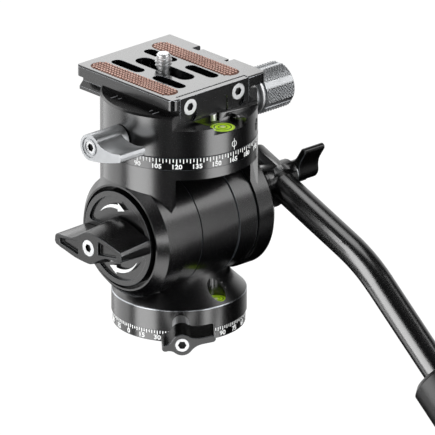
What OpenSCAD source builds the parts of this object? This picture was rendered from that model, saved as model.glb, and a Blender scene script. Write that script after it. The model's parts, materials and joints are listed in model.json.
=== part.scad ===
// Fluid video head with a pan handle and a quick release clamp with its plate.
// All sizes are in millimetres. Z is the pan axis, X the tilt axis,
// and minus Y is the side where the operator stands.

/* [Base] */
// Diameter of the turning base
base_d = 50; // [48:0.5:54]
// Height of the fixed scale ring
base_ring_h = 4.3; // [3.8:0.1:5]
// Step from the turning base back to the fixed ring
base_ring_step = 0.5; // [0.2:0.1:1.2]
// Height where the straight wall of the turning base ends
base_wall_top = 12.4; // [12:0.1:14]
// Diameter of the spindle that the base turns on
spindle_d = 28; // [25:0.5:31]
// Height of the spindle over the scale ring
spindle_h = 6.8; // [6:0.1:7.5]
// Diameter of the spindle's neck
spindle_neck_d = 12; // [10.5:0.5:13.5]
// Diameter of the bolt that holds the turning base down
pan_bolt_d = 5; // [4:0.5:6]
// Thickness of the washer under that bolt
pan_retainer_h = 2; // [1.5:0.1:2.5]
// Outer diameter of the steel thread bush
bush_d = 14; // [13:0.5:16]
// Bore of the mounting thread
mount_bore_d = 8; // [7.6:0.1:8.6]
// Depth of the thread bush
bush_h = 9; // [8:0.1:10]
// Diameter of the level in the base
base_vial_d = 6.8; // [6.4:0.1:7.8]
// Distance of that level's middle from the base's outer wall
base_vial_inset = 4.6; // [4.4:0.1:5.4]
// Height of the top of that level
base_vial_top = 13.6; // [13:0.1:15]

/* [Pan lock] */
// Direction of the pan lock round the base
pan_lock_angle = 229; // [215:1:240]
// Height of its screw
pan_lock_z = 8; // [7.8:0.1:8.4]
// Diameter of its screw
lock_screw_d = 4; // [3:0.5:5]
// Diameter of its collar
collar_d = 6.2; // [5.6:0.1:7]
// Length of its collar
collar_len = 9.9; // [8:0.1:12]
// Length of the lever along its screw
wing_h = 12.4; // [10:0.1:14]
// Diameter of the lever's hub
wing_hub_d = 8.2; // [7.8:0.1:9]
// Thickness of its wings
wing_t = 2.6; // [2:0.1:3.2]
// Length of the long wing from the screw
wing_long = 12.6; // [11:0.1:14]
// Length of the short wing from the screw
wing_short = 7.6; // [7:0.1:9]
// Radius of the hollow between hub and long wing
wing_blend = 7; // [5:0.5:8]
// Turn of the pan lever about its screw
pan_lever_turn = 12; // [0:1:30]

/* [Tilt housing] */
// Height of the tilt axis over the bottom face
tilt_z = 39.45; // [39.2:0.05:42]
// Diameter of the tilt housing
housing_d = 45; // [43:0.5:45.5]
// Distance from the pan axis to the left end of the housing
housing_left = 17.8; // [17:0.1:18.5]
// Distance from the pan axis to the right end of the housing
housing_right = 18.75; // [18:0.05:19.5]
// Width of the left cover
left_cover_w = 9.4; // [8:0.1:10.5]
// Width of the right cover
right_cover_w = 9.65; // [8:0.05:10.5]
// Width of the groove round the right cover
cover_groove_w = 0.8; // [0.4:0.1:1.4]
// Depth of the grooves round the covers
cover_groove_t = 0.5; // [0.2:0.1:1]
// Diameter of the damping chamber
chamber_d = 30; // [26:0.5:32]
// Wall between the chamber and the ends of the housing
chamber_end = 3.6; // [3:0.1:4.5]
// Gap round the rotor in the damping chamber
chamber_gap = 0.4; // [0.3:0.05:0.8]
// Diameter of the tilt axle
axle_d = 10; // [8:0.5:11]
// Wall of the bearing bushes
bearing_wall = 2; // [1.5:0.1:2.5]

/* [Yoke] */
// Diameter of the upright of the yoke
yoke_d = 58; // [57:0.5:62]
// Diameter of its ears
ear_d = 46.8; // [46:0.1:48]
// Distance from the pan axis to the outer faces of the ears
ear_x = 29.25; // [28.5:0.05:30]
// Chamfer round the outer faces of the ears
ear_chamfer = 3.2; // [2:0.1:4]
// Gap between ears and housing
side_gap = 0.3; // [0.2:0.05:0.6]
// Gap between the ears and the base under them
ear_clear = 0.5; // [0.35:0.05:1]
// Rise of the underside of the flange over the tilt axis
flange_rise = 26.05; // [25:0.05:28]
// Thickness of the flange
flange_h = 3.8; // [3:0.1:5]
// Distance from the tilt axis to the bevel on the edges of the arms
arm_bevel_y = 18.1; // [17:0.1:20]
// Angle of that bevel
arm_bevel_angle = 22; // [15:1:30]

/* [Tilt lock] */
// Diameter of the dial under the tilt lever
dial_d = 36; // [33:0.5:37]
// Diameter of the recess round the dial
dial_recess_d = 39; // [38.5:0.5:40]
// Depth of that recess
dial_recess_t = 5; // [4:0.1:6]
// Height of the dial over the ear
dial_rise = 1.25; // [0.8:0.05:2]
// Width of the dial's rim
dial_rim = 2; // [1.5:0.1:3]
// Distance from the tilt axis to the two hollows of the dial
dial_hollow_y = 3.4; // [2.5:0.1:5]
// Corner radius of the hollows
dial_hollow_r = 1.2; // [0.8:0.1:2]
// Depth of the hollows
dial_hollow_t = 1; // [0.6:0.1:1.6]
// Length of the tilt lever along the axis
tilt_lever_h = 14.5; // [12:0.1:17]
// Half length of the tilt lever
tilt_lever_len = 18.1; // [16:0.1:20]
// Half height of the tilt lever at its hub
tilt_lever_hub = 6.1; // [5.2:0.1:6.5]
// How much higher the lever gets towards the dial
tilt_lever_flare = 1.4; // [1.1:0.05:1.6]
// Diameter of the stud in the lever
tilt_stud_d = 7; // [6:0.1:8]
// Diameter of the screw heads on levers and stop bar
head_d = 6.2; // [5.6:0.1:6.4]
// Width over the flats of their hexagon sockets
hex_w = 2.5; // [2:0.1:3]

/* [Pan scale and upper drum] */
// Height of the upper pan scale
scale_h = 4.7; // [4:0.1:6]
// How far flange and scale stand proud of the drum
scale_step = 0.05; // [0.05:0.05:0.5]
// Diameter of the upper drum
drum_d = 58; // [57.6:0.2:60]
// Gap between scale and drum
drum_gap = 0.25; // [0.2:0.05:0.5]
// Height of the drum from the scale to the top of its fixed jaw
drum_h = 16; // [15.6:0.1:18]
// Chamfer of the drum's upper edge
drum_chamfer = 0.7; // [0.3:0.1:1]
// Diameter of the upper pan axle
top_axle_d = 12; // [10:0.5:14]
// Diameter of its brake disc and cap
top_cap_d = 17; // [16.5:0.5:19]
// Diameter of the level in the drum
top_vial_d = 8; // [7:0.1:8.4]
// Width of the ring round that level
vial_ring_w = 0.6; // [0.4:0.1:0.8]
// Distance of that level's middle from the drum's outer wall
top_vial_inset = 5.2; // [4.8:0.1:6]
// Depth of the notch over the level, under the front ledge
vial_notch_t = 2.6; // [1.5:0.1:3]
// Half width of that notch
vial_notch_x = 8; // [6:0.1:9]
// Distance from the pan axis to the front face of the clamp
front_face_y = 19.7; // [19.4:0.1:20.5]
// Depth of the front ledge under the clamp floor
front_ledge_t = 1.3; // [0.8:0.1:2]
// Diameter of the hole for the set screw in the side
set_hole_d = 4.7; // [4:0.1:5.2]
// Direction of that hole round the drum
set_hole_angle = 306; // [300:1:312]

/* [Upper pan lock] */
// Diameter of the barrel of the silver lever
comma_d = 10.2; // [9:0.1:10.6]
// Length of the lever's head along its screw
comma_h = 12.2; // [10:0.1:14]
// Distance from the pan axis to the lever's face
comma_x = 44.2; // [42:0.1:47]
// Length of its arm from the screw
comma_len = 16.9; // [14:0.1:19]
// Gap between the barrel and the drum
comma_gap = 0.35; // [0.3:0.05:0.8]

/* [Clamp] */
// Width of the dovetail foot that the clamp holds
foot_w = 38; // [37.6:0.1:38.4]
// Height of the straight side of the foot
foot_side = 1.2; // [0.8:0.1:1.6]
// Height of the sloping flank of the foot
foot_flank = 1.8; // [1.4:0.1:2]
// Depth of the clamp's floor under the top of its jaws
clamp_depth = 4.1; // [3.9:0.1:5]
// Gap between foot and jaws
jaw_gap = 0.1; // [0.05:0.05:0.2]
// Half length of the movable jaw
jaw_y = 17; // [15:0.1:18]
// Distance from the pan axis to the flat behind the jaw's skirt
skirt_x = 24.2; // [23.8:0.1:25]
// Height of the skirt
skirt_h = 13.5; // [13:0.1:14.5]
// Diameter of the guide pins
jaw_pin_d = 3; // [2.5:0.1:3.5]
// Distance of the guide pins from the pan axis
jaw_pin_y = 13.4; // [12.4:0.1:14]
// Diameter of the clamp screw
clamp_screw_d = 5; // [4.5:0.1:5.4]
// Diameter of the clip that keeps the screw in the jaw
clip_d = 8; // [7.6:0.1:8.4]
// Thickness of that clip
clip_t = 0.9; // [0.6:0.1:1]
// Distance of the clamp screw from the pan axis
clamp_screw_y = 5; // [4:0.1:6]
// Depth of the clamp screw under the top of the jaws
clamp_screw_drop = 7.7; // [7.4:0.1:8]
// Thickness of the tab that stands up into the plate
tab_t = 2.9; // [2:0.1:3.4]
// Width of that tab
tab_w = 14; // [12:0.1:15]
// Height of that tab over the jaw
tab_h = 5.6; // [4:0.1:5.8]
// Travel of the jaw when it opens
jaw_travel = 5; // [4.5:0.1:5.5]

/* [Clamp knob] */
// Diameter of the knob
knob_d = 17; // [15:0.5:18]
// Length of the knob
knob_len = 16.4; // [14:0.1:18]
// Width of the bright ring at its foot
knob_ring_w = 1; // [0.7:0.1:1.5]
// Width of the groove beside that ring
knob_groove_w = 1.2; // [0.8:0.1:2]
// Diameter of the neck behind the knob
knob_neck_d = 13; // [11:0.5:14]
// Length of that neck
knob_neck_len = 1.2; // [1:0.1:2]
// Number of flutes in the knob
knob_flutes = 6; // [5:1:8]
// Width of a flute
knob_flute_w = 2.2; // [1.5:0.1:2.6]
// Depth of a flute
knob_flute_t = 0.6; // [0.3:0.1:0.8]

/* [Plate] */
// Distance from the pan axis to the plate's left edge
plate_left = 21; // [20.5:0.1:22]
// Distance from the pan axis to the plate's right edge
plate_right = 26; // [25.5:0.1:27]
// Distance from the pan axis to the plate's front edge
plate_front = 19.4; // [18.6:0.1:19.5]
// Distance from the pan axis to the plate's back edge
plate_back = 33.4; // [32:0.1:36]
// Height of the whole plate with its foot
plate_h = 10.2; // [9.9:0.1:11]
// Thickness of its top
plate_top_t = 4.15; // [3.5:0.05:4.4]
// Radius of its upright edges
plate_r = 2.3; // [1.5:0.1:3]
// Chamfer of its upper edge
plate_chamfer = 0.5; // [0.3:0.1:0.7]
// Half width of the hollow under the plate
plate_hollow_x = 12; // [11:0.1:13]
// Width of the long slot
slot_w = 6.7; // [6.5:0.1:7]
// Length of the long slot
slot_len = 29; // [26:0.5:31]
// Distance from the long slot to the side slots
side_slot_x = 8.1; // [7.8:0.1:8.6]
// Width of the side slots
side_slot_w = 4.6; // [4:0.1:4.8]
// Length of each side slot
side_slot_len = 16; // [14:0.5:17]
// Distance between the middles of two side slots in a row
side_slot_pitch = 22.4; // [20:0.1:24]
// Where the slots have their middle
slot_y = 7.6; // [7:0.1:8.2]
// Depth of the notch for the tab
notch_t = 4.2; // [3.5:0.1:4.6]
// Play of the tab in the notch to each side
notch_play = 2.45; // [2:0.05:3]
// Where the notch has its middle
notch_y = 7.25; // [6:0.05:8.5]
// How far the plate can slide to each side
plate_travel = 1.5; // [1:0.1:1.8]
// Width of the rubber pads
pad_w = 7.6; // [6.5:0.1:8]
// Length of the rubber pads
pad_len = 44; // [40:0.5:46]
// Distance of the pads from the middle of the plate
pad_x = 15.2; // [14.9:0.1:15.6]
// Thickness of the pads
pad_t = 1.1; // [0.8:0.1:1.4]
// Height of the pads over the plate
pad_rise = 0.3; // [0.2:0.05:0.5]
// Half width of the stop bar
bar_x = 17; // [16:0.1:17.2]
// Thickness of the stop bar
bar_t = 2.6; // [2.4:0.1:3.2]
// Distance between the screws of the bar
bar_pitch = 23.8; // [22:0.1:25]
// Width of the pocket in the bar
bar_pocket_w = 13; // [11:0.1:14]
// Depth of that pocket
bar_pocket_t = 0.5; // [0.3:0.1:0.7]
// Radius of its upper corners
bar_pocket_r = 2; // [1.5:0.1:2.5]
// Diameter of the stop pin's head
stop_pin_d = 3.7; // [3.4:0.1:4]
// Height of that head
stop_pin_h = 2.7; // [2.4:0.1:2.9]
// Diameter of its shank
stop_pin_shank_d = 1.4; // [1.2:0.1:1.6]
// Where the stop pin stands
stop_pin_x = 0; // [-1:0.1:1]

/* [Camera screw] */
// Outer diameter of the screw for the camera
camera_screw_d = 6.35; // [6.2:0.05:6.4]
// Diameter of its neck, thinner so that it stays in the slot
camera_neck_d = 5.2; // [4.8:0.1:5.6]
// Height of that screw over the plate
camera_screw_rise = 6; // [5:0.1:7]
// Diameter of its head under the plate
camera_head_d = 12; // [10.5:0.1:12.5]
// Thickness of its head
camera_head_h = 2.4; // [2:0.1:2.8]
// Where the screw stands along the slot
camera_screw_y = 8.4; // [4:0.1:12]
// Travel of the screw along the slot to each side
camera_screw_travel = 10; // [8:0.5:10.5]

/* [Handle] */
// Distance from the pan axis to the middle of the handle
handle_x = 37.5; // [37:0.1:39]
// Distance of the handle's pivot in front of the tilt axis
pivot_y = 11; // [10:0.1:12]
// Height of the pivot over the tilt axis
pivot_rise = 9.3; // [8.5:0.1:10.5]
// Diameter of the two rosettes
rosette_d = 12; // [11:0.5:13]
// Thickness of each rosette
rosette_t = 1.1; // [0.9:0.05:1.3]
// Diameter of the handle's bolt
handle_bolt_d = 6; // [5.5:0.5:6.5]
// Diameter of the bolt's outer end
handle_stud_d = 5; // [4:0.5:5.5]
// Diameter of the hub round the bolt
holder_hub_d = 12; // [11:0.5:13]
// Diameter of the rounded cheek under the sleeve
holder_cheek_d = 20.8; // [19:0.1:22]
// Thickness of that cheek
holder_cheek_t = 2; // [1.6:0.1:2.6]
// Outer diameter of the holder's sleeve
sleeve_d = 12.1; // [11.9:0.1:12.5]
// Length of the sleeve behind the pivot
sleeve_back = 12.6; // [11:0.1:15]
// Length of the sleeve before the pivot
sleeve_front = 3.9; // [3:0.1:6]
// Diameter of the ring at the sleeve's mouth
mouth_d = 13.6; // [13:0.1:15]
// Length of that ring
mouth_len = 3; // [2:0.1:4]
// Outer diameter of the handle's tube
tube_d = 10.8; // [10:0.1:11]
// Wall of the tube
tube_wall = 1.3; // [1:0.1:1.6]
// How much thinner the tube is drawn behind its bend
tube_draw = 0.06; // [0.04:0.01:0.1]
// Slope of the handle at its holder
handle_slope = 21.1; // [15:0.1:28]
// Length of the tube from the pivot to its bend
tube_first = 43; // [38:0.5:50]
// Radius of the bend
bend_r = 63; // [50:1:80]
// Angle of the bend
bend_angle = 18.2; // [12:0.1:25]
// Length of the tube behind the bend
tube_second = 150; // [130:1:170]
// Length of the grip
grip_len = 108; // [90:1:120]
// Diameter of the grip
grip_d = 24; // [20:0.5:28]
// Thickness of the cap on the end of the tube
cap_t = 3; // [2:0.1:5]
// Diameter of the collar under the handle's lock
handle_collar_d = 8; // [7.5:0.1:9]
// Length of that collar
handle_collar_len = 1.6; // [1:0.1:3]
// Height of the handle's lock along its screw
handle_wing_h = 10; // [8:0.1:12]
// Direction of its long wing
handle_wing_turn = 123; // [90:1:150]

/* [Fits] */
// Clearance round what turns or slides
run = 0.06; // [0.04:0.01:0.1]
// Clearance round what is fixed
seat = 0.02; // [0.01:0.01:0.05]
// Gap between the faces of turning parts
lift = 0.2; // [0.1:0.05:0.3]
// Thickness of small screw heads
head_t = 1.2; // [0.8:0.1:1.6]

/* [Hidden] */
base_r = base_d / 2;
ring_r = base_r - base_ring_step;
base_vial_y = base_r - base_vial_inset;
spindle_top = base_ring_h + spindle_h;
pan_web_top = spindle_top + lift + 3;
retainer_z = pan_web_top + lift;
housing_r = housing_d / 2;
cone_top = tilt_z - housing_r * 0.5;
seam_left = housing_left - left_cover_w;
seam_right = housing_right - right_cover_w;
slot_left = housing_left + side_gap;
slot_right = housing_right + side_gap;
yoke_r = yoke_d / 2;
flange_z = tilt_z + flange_rise;
scale_z = flange_z + flange_h;
scale_top = scale_z + scale_h;
drum_r = drum_d / 2;
top_vial_y = drum_r - top_vial_inset;
drum_z = scale_top + drum_gap;
drum_top = scale_top + drum_h;
clamp_z = drum_top - clamp_depth;
ledge_z = clamp_z - front_ledge_t;
notch_z = ledge_z - vial_notch_t;
spigot_z = scale_z + 2.2;
web_z = drum_z + 1.75;
cap_h = 3.2;
comma_z = drum_z + 4.45;
clamp_screw_z = drum_top - clamp_screw_drop;
jaw_pin_z = clamp_screw_z - 1.8;
jaw_base_z = clamp_z - 1.1;
foot_x = foot_w / 2;
neck_x = foot_x - foot_flank;
plate_z = clamp_z + 0.05;
plate_top = plate_z + plate_h;
camera_thread_z = plate_top + 0.2;
spot_x = drum_r - 1.1;
knob_x = spot_x + knob_neck_len + 1;
ear_left = ear_x;
recess_x = ear_x - dial_recess_t;
dial_x = ear_x + dial_rise;
pivot_z = tilt_z + pivot_rise;
hub_x = ear_x + 2 * rosette_t + 0.1;
holder_x = handle_x + sleeve_d / 2 + 0.9;
bar_screw_z = plate_z + 5.8;
bar_pocket_top = bar_screw_z + 0.6;
stop_pin_y = (bar_pocket_t + bar_t) / 2 - plate_front;
fine = 64;
small = 32;

function arc(c, r, a0, a1, n, s = 0) =
    [for (i = [s:n]) c + r * [cos(a0 + (a1 - a0) * i / n), sin(a0 + (a1 - a0) * i / n)]];

function flip(p, sx, sy) = [for (q = p) [q.x * sx, q.y * sy]];

function inner(p) = [for (i = [len(p) - 2:-1:1]) p[i]];

// One quarter of a lever's outline, from the tip of a wing to the top of the hub
function wing_side(r, t, reach, f) =
    let (y = t / 2 + f, x = sqrt(pow(r + f, 2) - y * y), a = atan2(y, x))
    concat(
        arc([reach - t / 2, 0], t / 2, 0, 90, 5),
        arc([max(x, 0.1), y], f, -90, a - 180, 7, x < reach - t / 2 ? 0 : 1),
        arc([0, 0], r, a, 90, 5, 1));

// Closed smooth curve through the points p
function smooth(p, n) =
    [for (i = [0:len(p) - 1], k = [0:n - 1])
        let (
            a = p[(i + len(p) - 1) % len(p)],
            b = p[i],
            c = p[(i + 1) % len(p)],
            d = p[(i + 2) % len(p)],
            t = k / n)
        b + 0.5 * t * ((c - a) + t * ((2 * a - 5 * b + 4 * c - d) + t * (3 * b - a - 3 * c + d)))];

// Outline of a slot with round ends, along Y
function slot_outline(w, l) =
    concat(arc([0, l / 2 - w / 2], w / 2, 0, 180, 10), arc([0, w / 2 - l / 2], w / 2, 180, 360, 10));

module along_x(x0, x1, d, n = small) {
    translate([x0, 0, 0])
        rotate([0, 90, 0])
            cylinder(d = d, h = x1 - x0, $fn = n);
}

module ring(d, bore, h, n = fine) {
    difference() {
        cylinder(d = d, h = h, $fn = n);
        translate([0, 0, -1])
            cylinder(d = bore, h = h + 2, $fn = n);
    }
}

// Height and reach for pieces on the pan lock's screw, Z pointing outward
module at_pan_lock(r) {
    rotate([0, 0, pan_lock_angle])
        translate([r, 0, pan_lock_z])
            rotate([90, 0, 90])
                children();
}

// Left side of the tilt axis, Z pointing outward and X towards the operator
module at_left(x, z) {
    translate([-x, 0, z])
        rotate([90, 0, -90])
            children();
}

// Right side at the handle's pivot, Z pointing outward and Y upward
module at_pivot(x) {
    translate([x, -pivot_y, pivot_z])
        rotate([90, 0, 90])
            children();
}

// Frame of the handle: minus Y runs down along its first part
module at_handle() {
    translate([handle_x, -pivot_y, pivot_z])
        rotate([handle_slope, 0, 0])
            children();
}

module wing_lever(h, bore, bore_depth, head) {
    long_side = wing_side(wing_hub_d / 2, wing_t, wing_long, wing_blend);
    short_side = wing_side(wing_hub_d / 2, wing_t, wing_short, wing_blend * 0.45);
    difference() {
        linear_extrude(h)
            polygon(concat(
                long_side,
                flip(inner(short_side), -1, 1),
                flip(short_side, -1, -1),
                flip(inner(long_side), 1, -1)));
        translate([0, 0, -1])
            cylinder(d = bore, h = bore_depth + 1, $fn = small);
        translate([0, 0, h - head_t])
            cylinder(d = head + 2 * seat, h = head_t + 1, $fn = small);
    }
}

module hex_head(d, t) {
    difference() {
        cylinder(d = d, h = t, $fn = small);
        translate([0, 0, t * 0.3])
            cylinder(d = hex_w / cos(30), h = t, $fn = 6);
    }
}

module base_ring() {
    color("#202225")
        ring(ring_r * 2, bush_d + 2 * seat, base_ring_h);
}

module base_spindle() {
    color("#b9bcc0")
        difference() {
            union() {
                translate([0, 0, base_ring_h])
                    cylinder(d = spindle_d, h = spindle_h, $fn = fine);
                translate([0, 0, spindle_top - 1])
                    cylinder(d = spindle_neck_d, h = retainer_z - spindle_top + 1, $fn = small);
            }
            cylinder(d = bush_d + 2 * seat, h = bush_h + 0.4, $fn = small);
            cylinder(d = pan_bolt_d + 2 * seat, h = 20, $fn = small);
        }
}

module thread_bush() {
    color("#c9a24c")
        ring(bush_d, mount_bore_d, bush_h, small);
}

module pan_retainer() {
    color("#b9bcc0")
        translate([0, 0, retainer_z])
            ring(spindle_neck_d + 6, pan_bolt_d + 2 * seat, pan_retainer_h, small);
}

module pan_bolt() {
    color("#9da1a6")
        union() {
            translate([0, 0, bush_h + 0.6])
                cylinder(d = pan_bolt_d, h = retainer_z + pan_retainer_h - bush_h, $fn = small);
            translate([0, 0, retainer_z + pan_retainer_h])
                hex_head(pan_bolt_d + 4, 2.5);
        }
}

module pan_housing() {
    color("#1d1f22")
        difference() {
            union() {
                translate([0, 0, base_ring_h + lift])
                    cylinder(r = base_r, h = base_wall_top - base_ring_h - lift, $fn = 96);
                translate([0, 0, base_wall_top])
                    cylinder(r1 = base_r, r2 = base_r - (cone_top - base_wall_top), h = cone_top - base_wall_top, $fn = 96);
                translate([0, 0, tilt_z])
                    along_x(-seam_left, seam_right, housing_d, fine);
            }
            translate([0, 0, base_ring_h])
                cylinder(d = spindle_d + 2 * run, h = spindle_h + lift, $fn = fine);
            translate([0, 0, base_ring_h])
                cylinder(d = spindle_neck_d + 2 * run, h = 20, $fn = small);
            translate([0, 0, pan_web_top])
                cylinder(d = spindle_neck_d + 7, h = tilt_z - pan_web_top, $fn = small);
            translate([0, 0, tilt_z]) {
                along_x(-housing_left, housing_right, chamber_d, fine);
                along_x(-base_r - 1, -seam_left, housing_d + 2 * seat, fine);
                along_x(seam_right, base_r + 1, housing_d + 2 * seat, fine);
                along_x(-base_r - 1, -housing_left, ear_d + 2 * ear_clear, fine);
                along_x(housing_right, base_r + 1, ear_d + 2 * ear_clear, fine);
            }
            translate([0, -base_vial_y, base_vial_top - 5])
                cylinder(d = base_vial_d + 2 * seat, h = 13, $fn = small);
            at_pan_lock(0)
                cylinder(d = lock_screw_d + 2 * run, h = base_r + 1, $fn = small);
            at_pan_lock(0)
                cylinder(d = lock_screw_d + 1 + 2 * run, h = spindle_d / 2 + 3.6, $fn = small);
        }
}

module left_cover() {
    color("#1d1f22")
        translate([0, 0, tilt_z])
            difference() {
                union() {
                    along_x(-housing_left, -seam_left - cover_groove_w / 2, housing_d, fine);
                    along_x(-housing_left, -seam_left, housing_d - 2 * cover_groove_t, fine);
                }
                along_x(chamber_end - housing_left, 0, chamber_d, fine);
                along_x(-housing_left - 1, 0, axle_d + 2 * bearing_wall + 2 * seat);
            }
}

module right_cover() {
    color("#1d1f22")
        translate([0, 0, tilt_z])
            difference() {
                union() {
                    along_x(seam_right + cover_groove_w, housing_right, housing_d, fine);
                    along_x(seam_right, housing_right, housing_d - 2 * cover_groove_t, fine);
                }
                along_x(0, housing_right - chamber_end, chamber_d, fine);
                along_x(0, housing_right + 1, axle_d + 2 * bearing_wall + 2 * seat);
            }
}

module bearing(x) {
    translate([x, 0, tilt_z])
        rotate([0, 90, 0])
            ring(axle_d + 2 * bearing_wall, axle_d + 2 * run, chamber_end, small);
}

module left_bush() {
    color("#a98b4c")
        bearing(-housing_left);
}

module right_bush() {
    color("#a98b4c")
        bearing(housing_right - chamber_end);
}

module base_vial() {
    color("#b7e23a")
        translate([0, -base_vial_y, base_vial_top - 5])
            cylinder(d = base_vial_d, h = 5, $fn = small);
}

module pan_shoe() {
    color("#a98b4c")
        at_pan_lock(spindle_d / 2 + 0.3)
            cylinder(d = lock_screw_d + 1, h = 3.2, $fn = small);
}

module pan_collar() {
    color("#cfd2d6")
        at_pan_lock(base_r + 0.35)
            ring(collar_d, lock_screw_d + 2 * seat, collar_len, small);
}

module pan_lever() {
    color("#232528")
        at_pan_lock(base_r + 0.35 + collar_len)
            rotate([0, 0, pan_lever_turn])
                wing_lever(wing_h, lock_screw_d + 2 * seat, wing_h, lock_screw_d + 1);
}

module pan_stud() {
    reach = base_r + 0.35 + collar_len + wing_h - head_t;
    color("#cfd2d6")
        union() {
            at_pan_lock(spindle_d / 2 + 3.5)
                cylinder(d = lock_screw_d, h = reach - spindle_d / 2 - 3.5, $fn = small);
            at_pan_lock(reach)
                hex_head(lock_screw_d + 1, head_t);
        }
}

module arm(side) {
    slot_x = side < 0 ? slot_left : slot_right;
    translate([0, 0, tilt_z])
        difference() {
            cylinder(r = yoke_r, h = flange_rise + 1, $fn = 96);
            translate([side < 0 ? -slot_x : -yoke_r - 1, -yoke_r - 1, -1])
                cube([slot_x + yoke_r + 1, 2 * yoke_r + 2, flange_rise + 3]);
            for (m = [0, 1])
                mirror([0, m, 0])
                    translate([side * slot_x, arm_bevel_y, -1])
                        mirror([side < 0 ? 1 : 0, 0, 0])
                            rotate([0, 0, arm_bevel_angle])
                                translate([-3, 0, 0])
                                    cube([20, 20, flange_rise + 3]);
        }
}

module ear(side, x0) {
    translate([0, 0, tilt_z])
        mirror([side < 0 ? 1 : 0, 0, 0]) {
            along_x(x0, ear_x - ear_chamfer, ear_d, 96);
            translate([ear_x - ear_chamfer, 0, 0])
                rotate([0, 90, 0])
                    cylinder(d1 = ear_d, d2 = ear_d - 2 * ear_chamfer, h = ear_chamfer, $fn = 96);
        }
}

module yoke() {
    color("#1d1f22")
        difference() {
            union() {
                translate([0, 0, flange_z])
                    cylinder(r = yoke_r + scale_step, h = flange_h, $fn = 96);
                arm(-1);
                arm(1);
                ear(-1, slot_left);
                ear(1, slot_right);
            }
            translate([0, 0, tilt_z]) {
                along_x(-ear_x - 1, -recess_x, dial_recess_d, fine);
                along_x(-ear_x - 1, 0, axle_d + 2 * seat);
                along_x(0, ear_x + 1, axle_d + 2 * seat);
                along_x(ear_x - 3.2, ear_x + 1, axle_d + 4 + 2 * seat);
                along_x(-slot_left - 2, -slot_left + 1, axle_d + 16);
            }
            at_pivot(slot_right + 2)
                cylinder(d = handle_bolt_d + 2 * seat, h = 12, $fn = small);
            translate([0, 0, flange_z - 1])
                cylinder(d = top_axle_d + 2 * seat, h = flange_h + 2, $fn = small);
        }
}

module tilt_pad() {
    color("#4a3b2a")
        translate([-slot_left - 2, 0, tilt_z])
            rotate([0, 90, 0])
                ring(axle_d + 16 - 2 * seat, axle_d + 1.2, 2 + side_gap / 2, fine);
}

module tilt_axle() {
    color("#b9bcc0")
        translate([0, 0, tilt_z])
            difference() {
                union() {
                    along_x(-recess_x, ear_x - 3.2, axle_d);
                    along_x(ear_x - 3.2, ear_x - 0.2, axle_d + 4);
                    along_x(-dial_x - 9.5, -recess_x + 1, tilt_stud_d);
                }
                along_x(ear_x - 2.6, ear_x, 6 / cos(30), 6);
            }
}

module tilt_rotor() {
    x0 = -housing_left + chamber_end + chamber_gap;
    x1 = housing_right - chamber_end - chamber_gap;
    color("#33363a")
        translate([0, 0, tilt_z])
            difference() {
                union() {
                    along_x(x0, x1, axle_d + 6);
                    for (k = [0:3])
                        translate([x0 + k * (x1 - x0 - 3) / 3, 0, 0])
                            along_x(0, 3, chamber_d - 2 * chamber_gap, fine);
                }
                along_x(x0 - 1, x1 + 1, axle_d + 2 * seat);
            }
}

// One of the dial's two hollows, with rounded corners
module hollow() {
    r = dial_d / 2 - dial_rim;
    y = dial_hollow_y + dial_hollow_r;
    x = sqrt(pow(r - dial_hollow_r, 2) - y * y);
    a = atan2(y, x);
    polygon(concat(
        arc([x, y], dial_hollow_r, -90, a, 6),
        arc([0, 0], r, a, 180 - a, 28, 1),
        arc([-x, y], dial_hollow_r, 180 - a, 270, 6, 1)));
}

module tilt_dial() {
    color("#2a2c30")
        difference() {
            at_left(recess_x, tilt_z)
                cylinder(d = dial_d, h = dial_x - recess_x, $fn = fine);
            at_left(recess_x - 1, tilt_z)
                cylinder(d = tilt_stud_d + 2 * run, h = 20, $fn = small);
            for (k = [0, 180])
                at_left(dial_x - dial_hollow_t, tilt_z)
                    rotate([0, 0, k])
                        linear_extrude(dial_hollow_t + 1)
                            hollow();
        }
}

function lever_outline() =
    let (
        u = tilt_lever_len,
        v = tilt_lever_hub,
        p = [
            [0.03 * u, v], [0.39 * u, 0.92 * v], [0.69 * u, 0.72 * v], [0.97 * u, 0.5 * v],
            [u, 0.16 * v], [0.96 * u, -0.14 * v], [0.76 * u, -0.18 * v], [0.51 * u, -0.26 * v],
            [0.29 * u, -0.61 * v], [0.12 * u, -0.92 * v]])
    smooth(concat(p, flip(p, -1, -1)), 2);

module tilt_lever() {
    color("#232528")
        difference() {
            at_left(dial_x + tilt_lever_h + lift, tilt_z)
                mirror([0, 0, 1])
                    linear_extrude(tilt_lever_h, scale = [1, tilt_lever_flare])
                        polygon(lever_outline());
            at_left(dial_x, tilt_z)
                cylinder(d = tilt_stud_d + 2 * run, h = 9.8, $fn = small);
            at_left(dial_x + tilt_lever_h + lift - 1.6, tilt_z)
                cylinder(d = head_d + 2 * seat, h = 3, $fn = small);
            at_left(dial_x + tilt_lever_h + lift - 4.4, tilt_z)
                cylinder(d = 3 + 2 * seat, h = 6, $fn = small);
            for (k = [0, 180])
                at_left(dial_x + tilt_lever_h + lift - 1.4, tilt_z)
                    rotate([0, 0, k])
                        linear_extrude(3)
                            polygon([
                                [0.3 * tilt_lever_len, -0.2 * tilt_lever_hub],
                                [0.86 * tilt_lever_len, 0.06 * tilt_lever_hub],
                                [0.84 * tilt_lever_len, 0.36 * tilt_lever_hub],
                                [0.3 * tilt_lever_len, 0.66 * tilt_lever_hub]]);
        }
}

module tilt_lever_screw() {
    color("#cfd2d6")
        union() {
            at_left(dial_x + tilt_lever_h + lift - 1.6, tilt_z)
                hex_head(head_d, 1.5);
            at_left(dial_x + tilt_lever_h + lift - 4.3, tilt_z)
                cylinder(d = 3, h = 3, $fn = small);
        }
}

module rosette_base() {
    color("#303338")
        at_pivot(ear_x)
            ring(rosette_d, handle_bolt_d + 2 * seat, rosette_t, fine);
}

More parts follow.
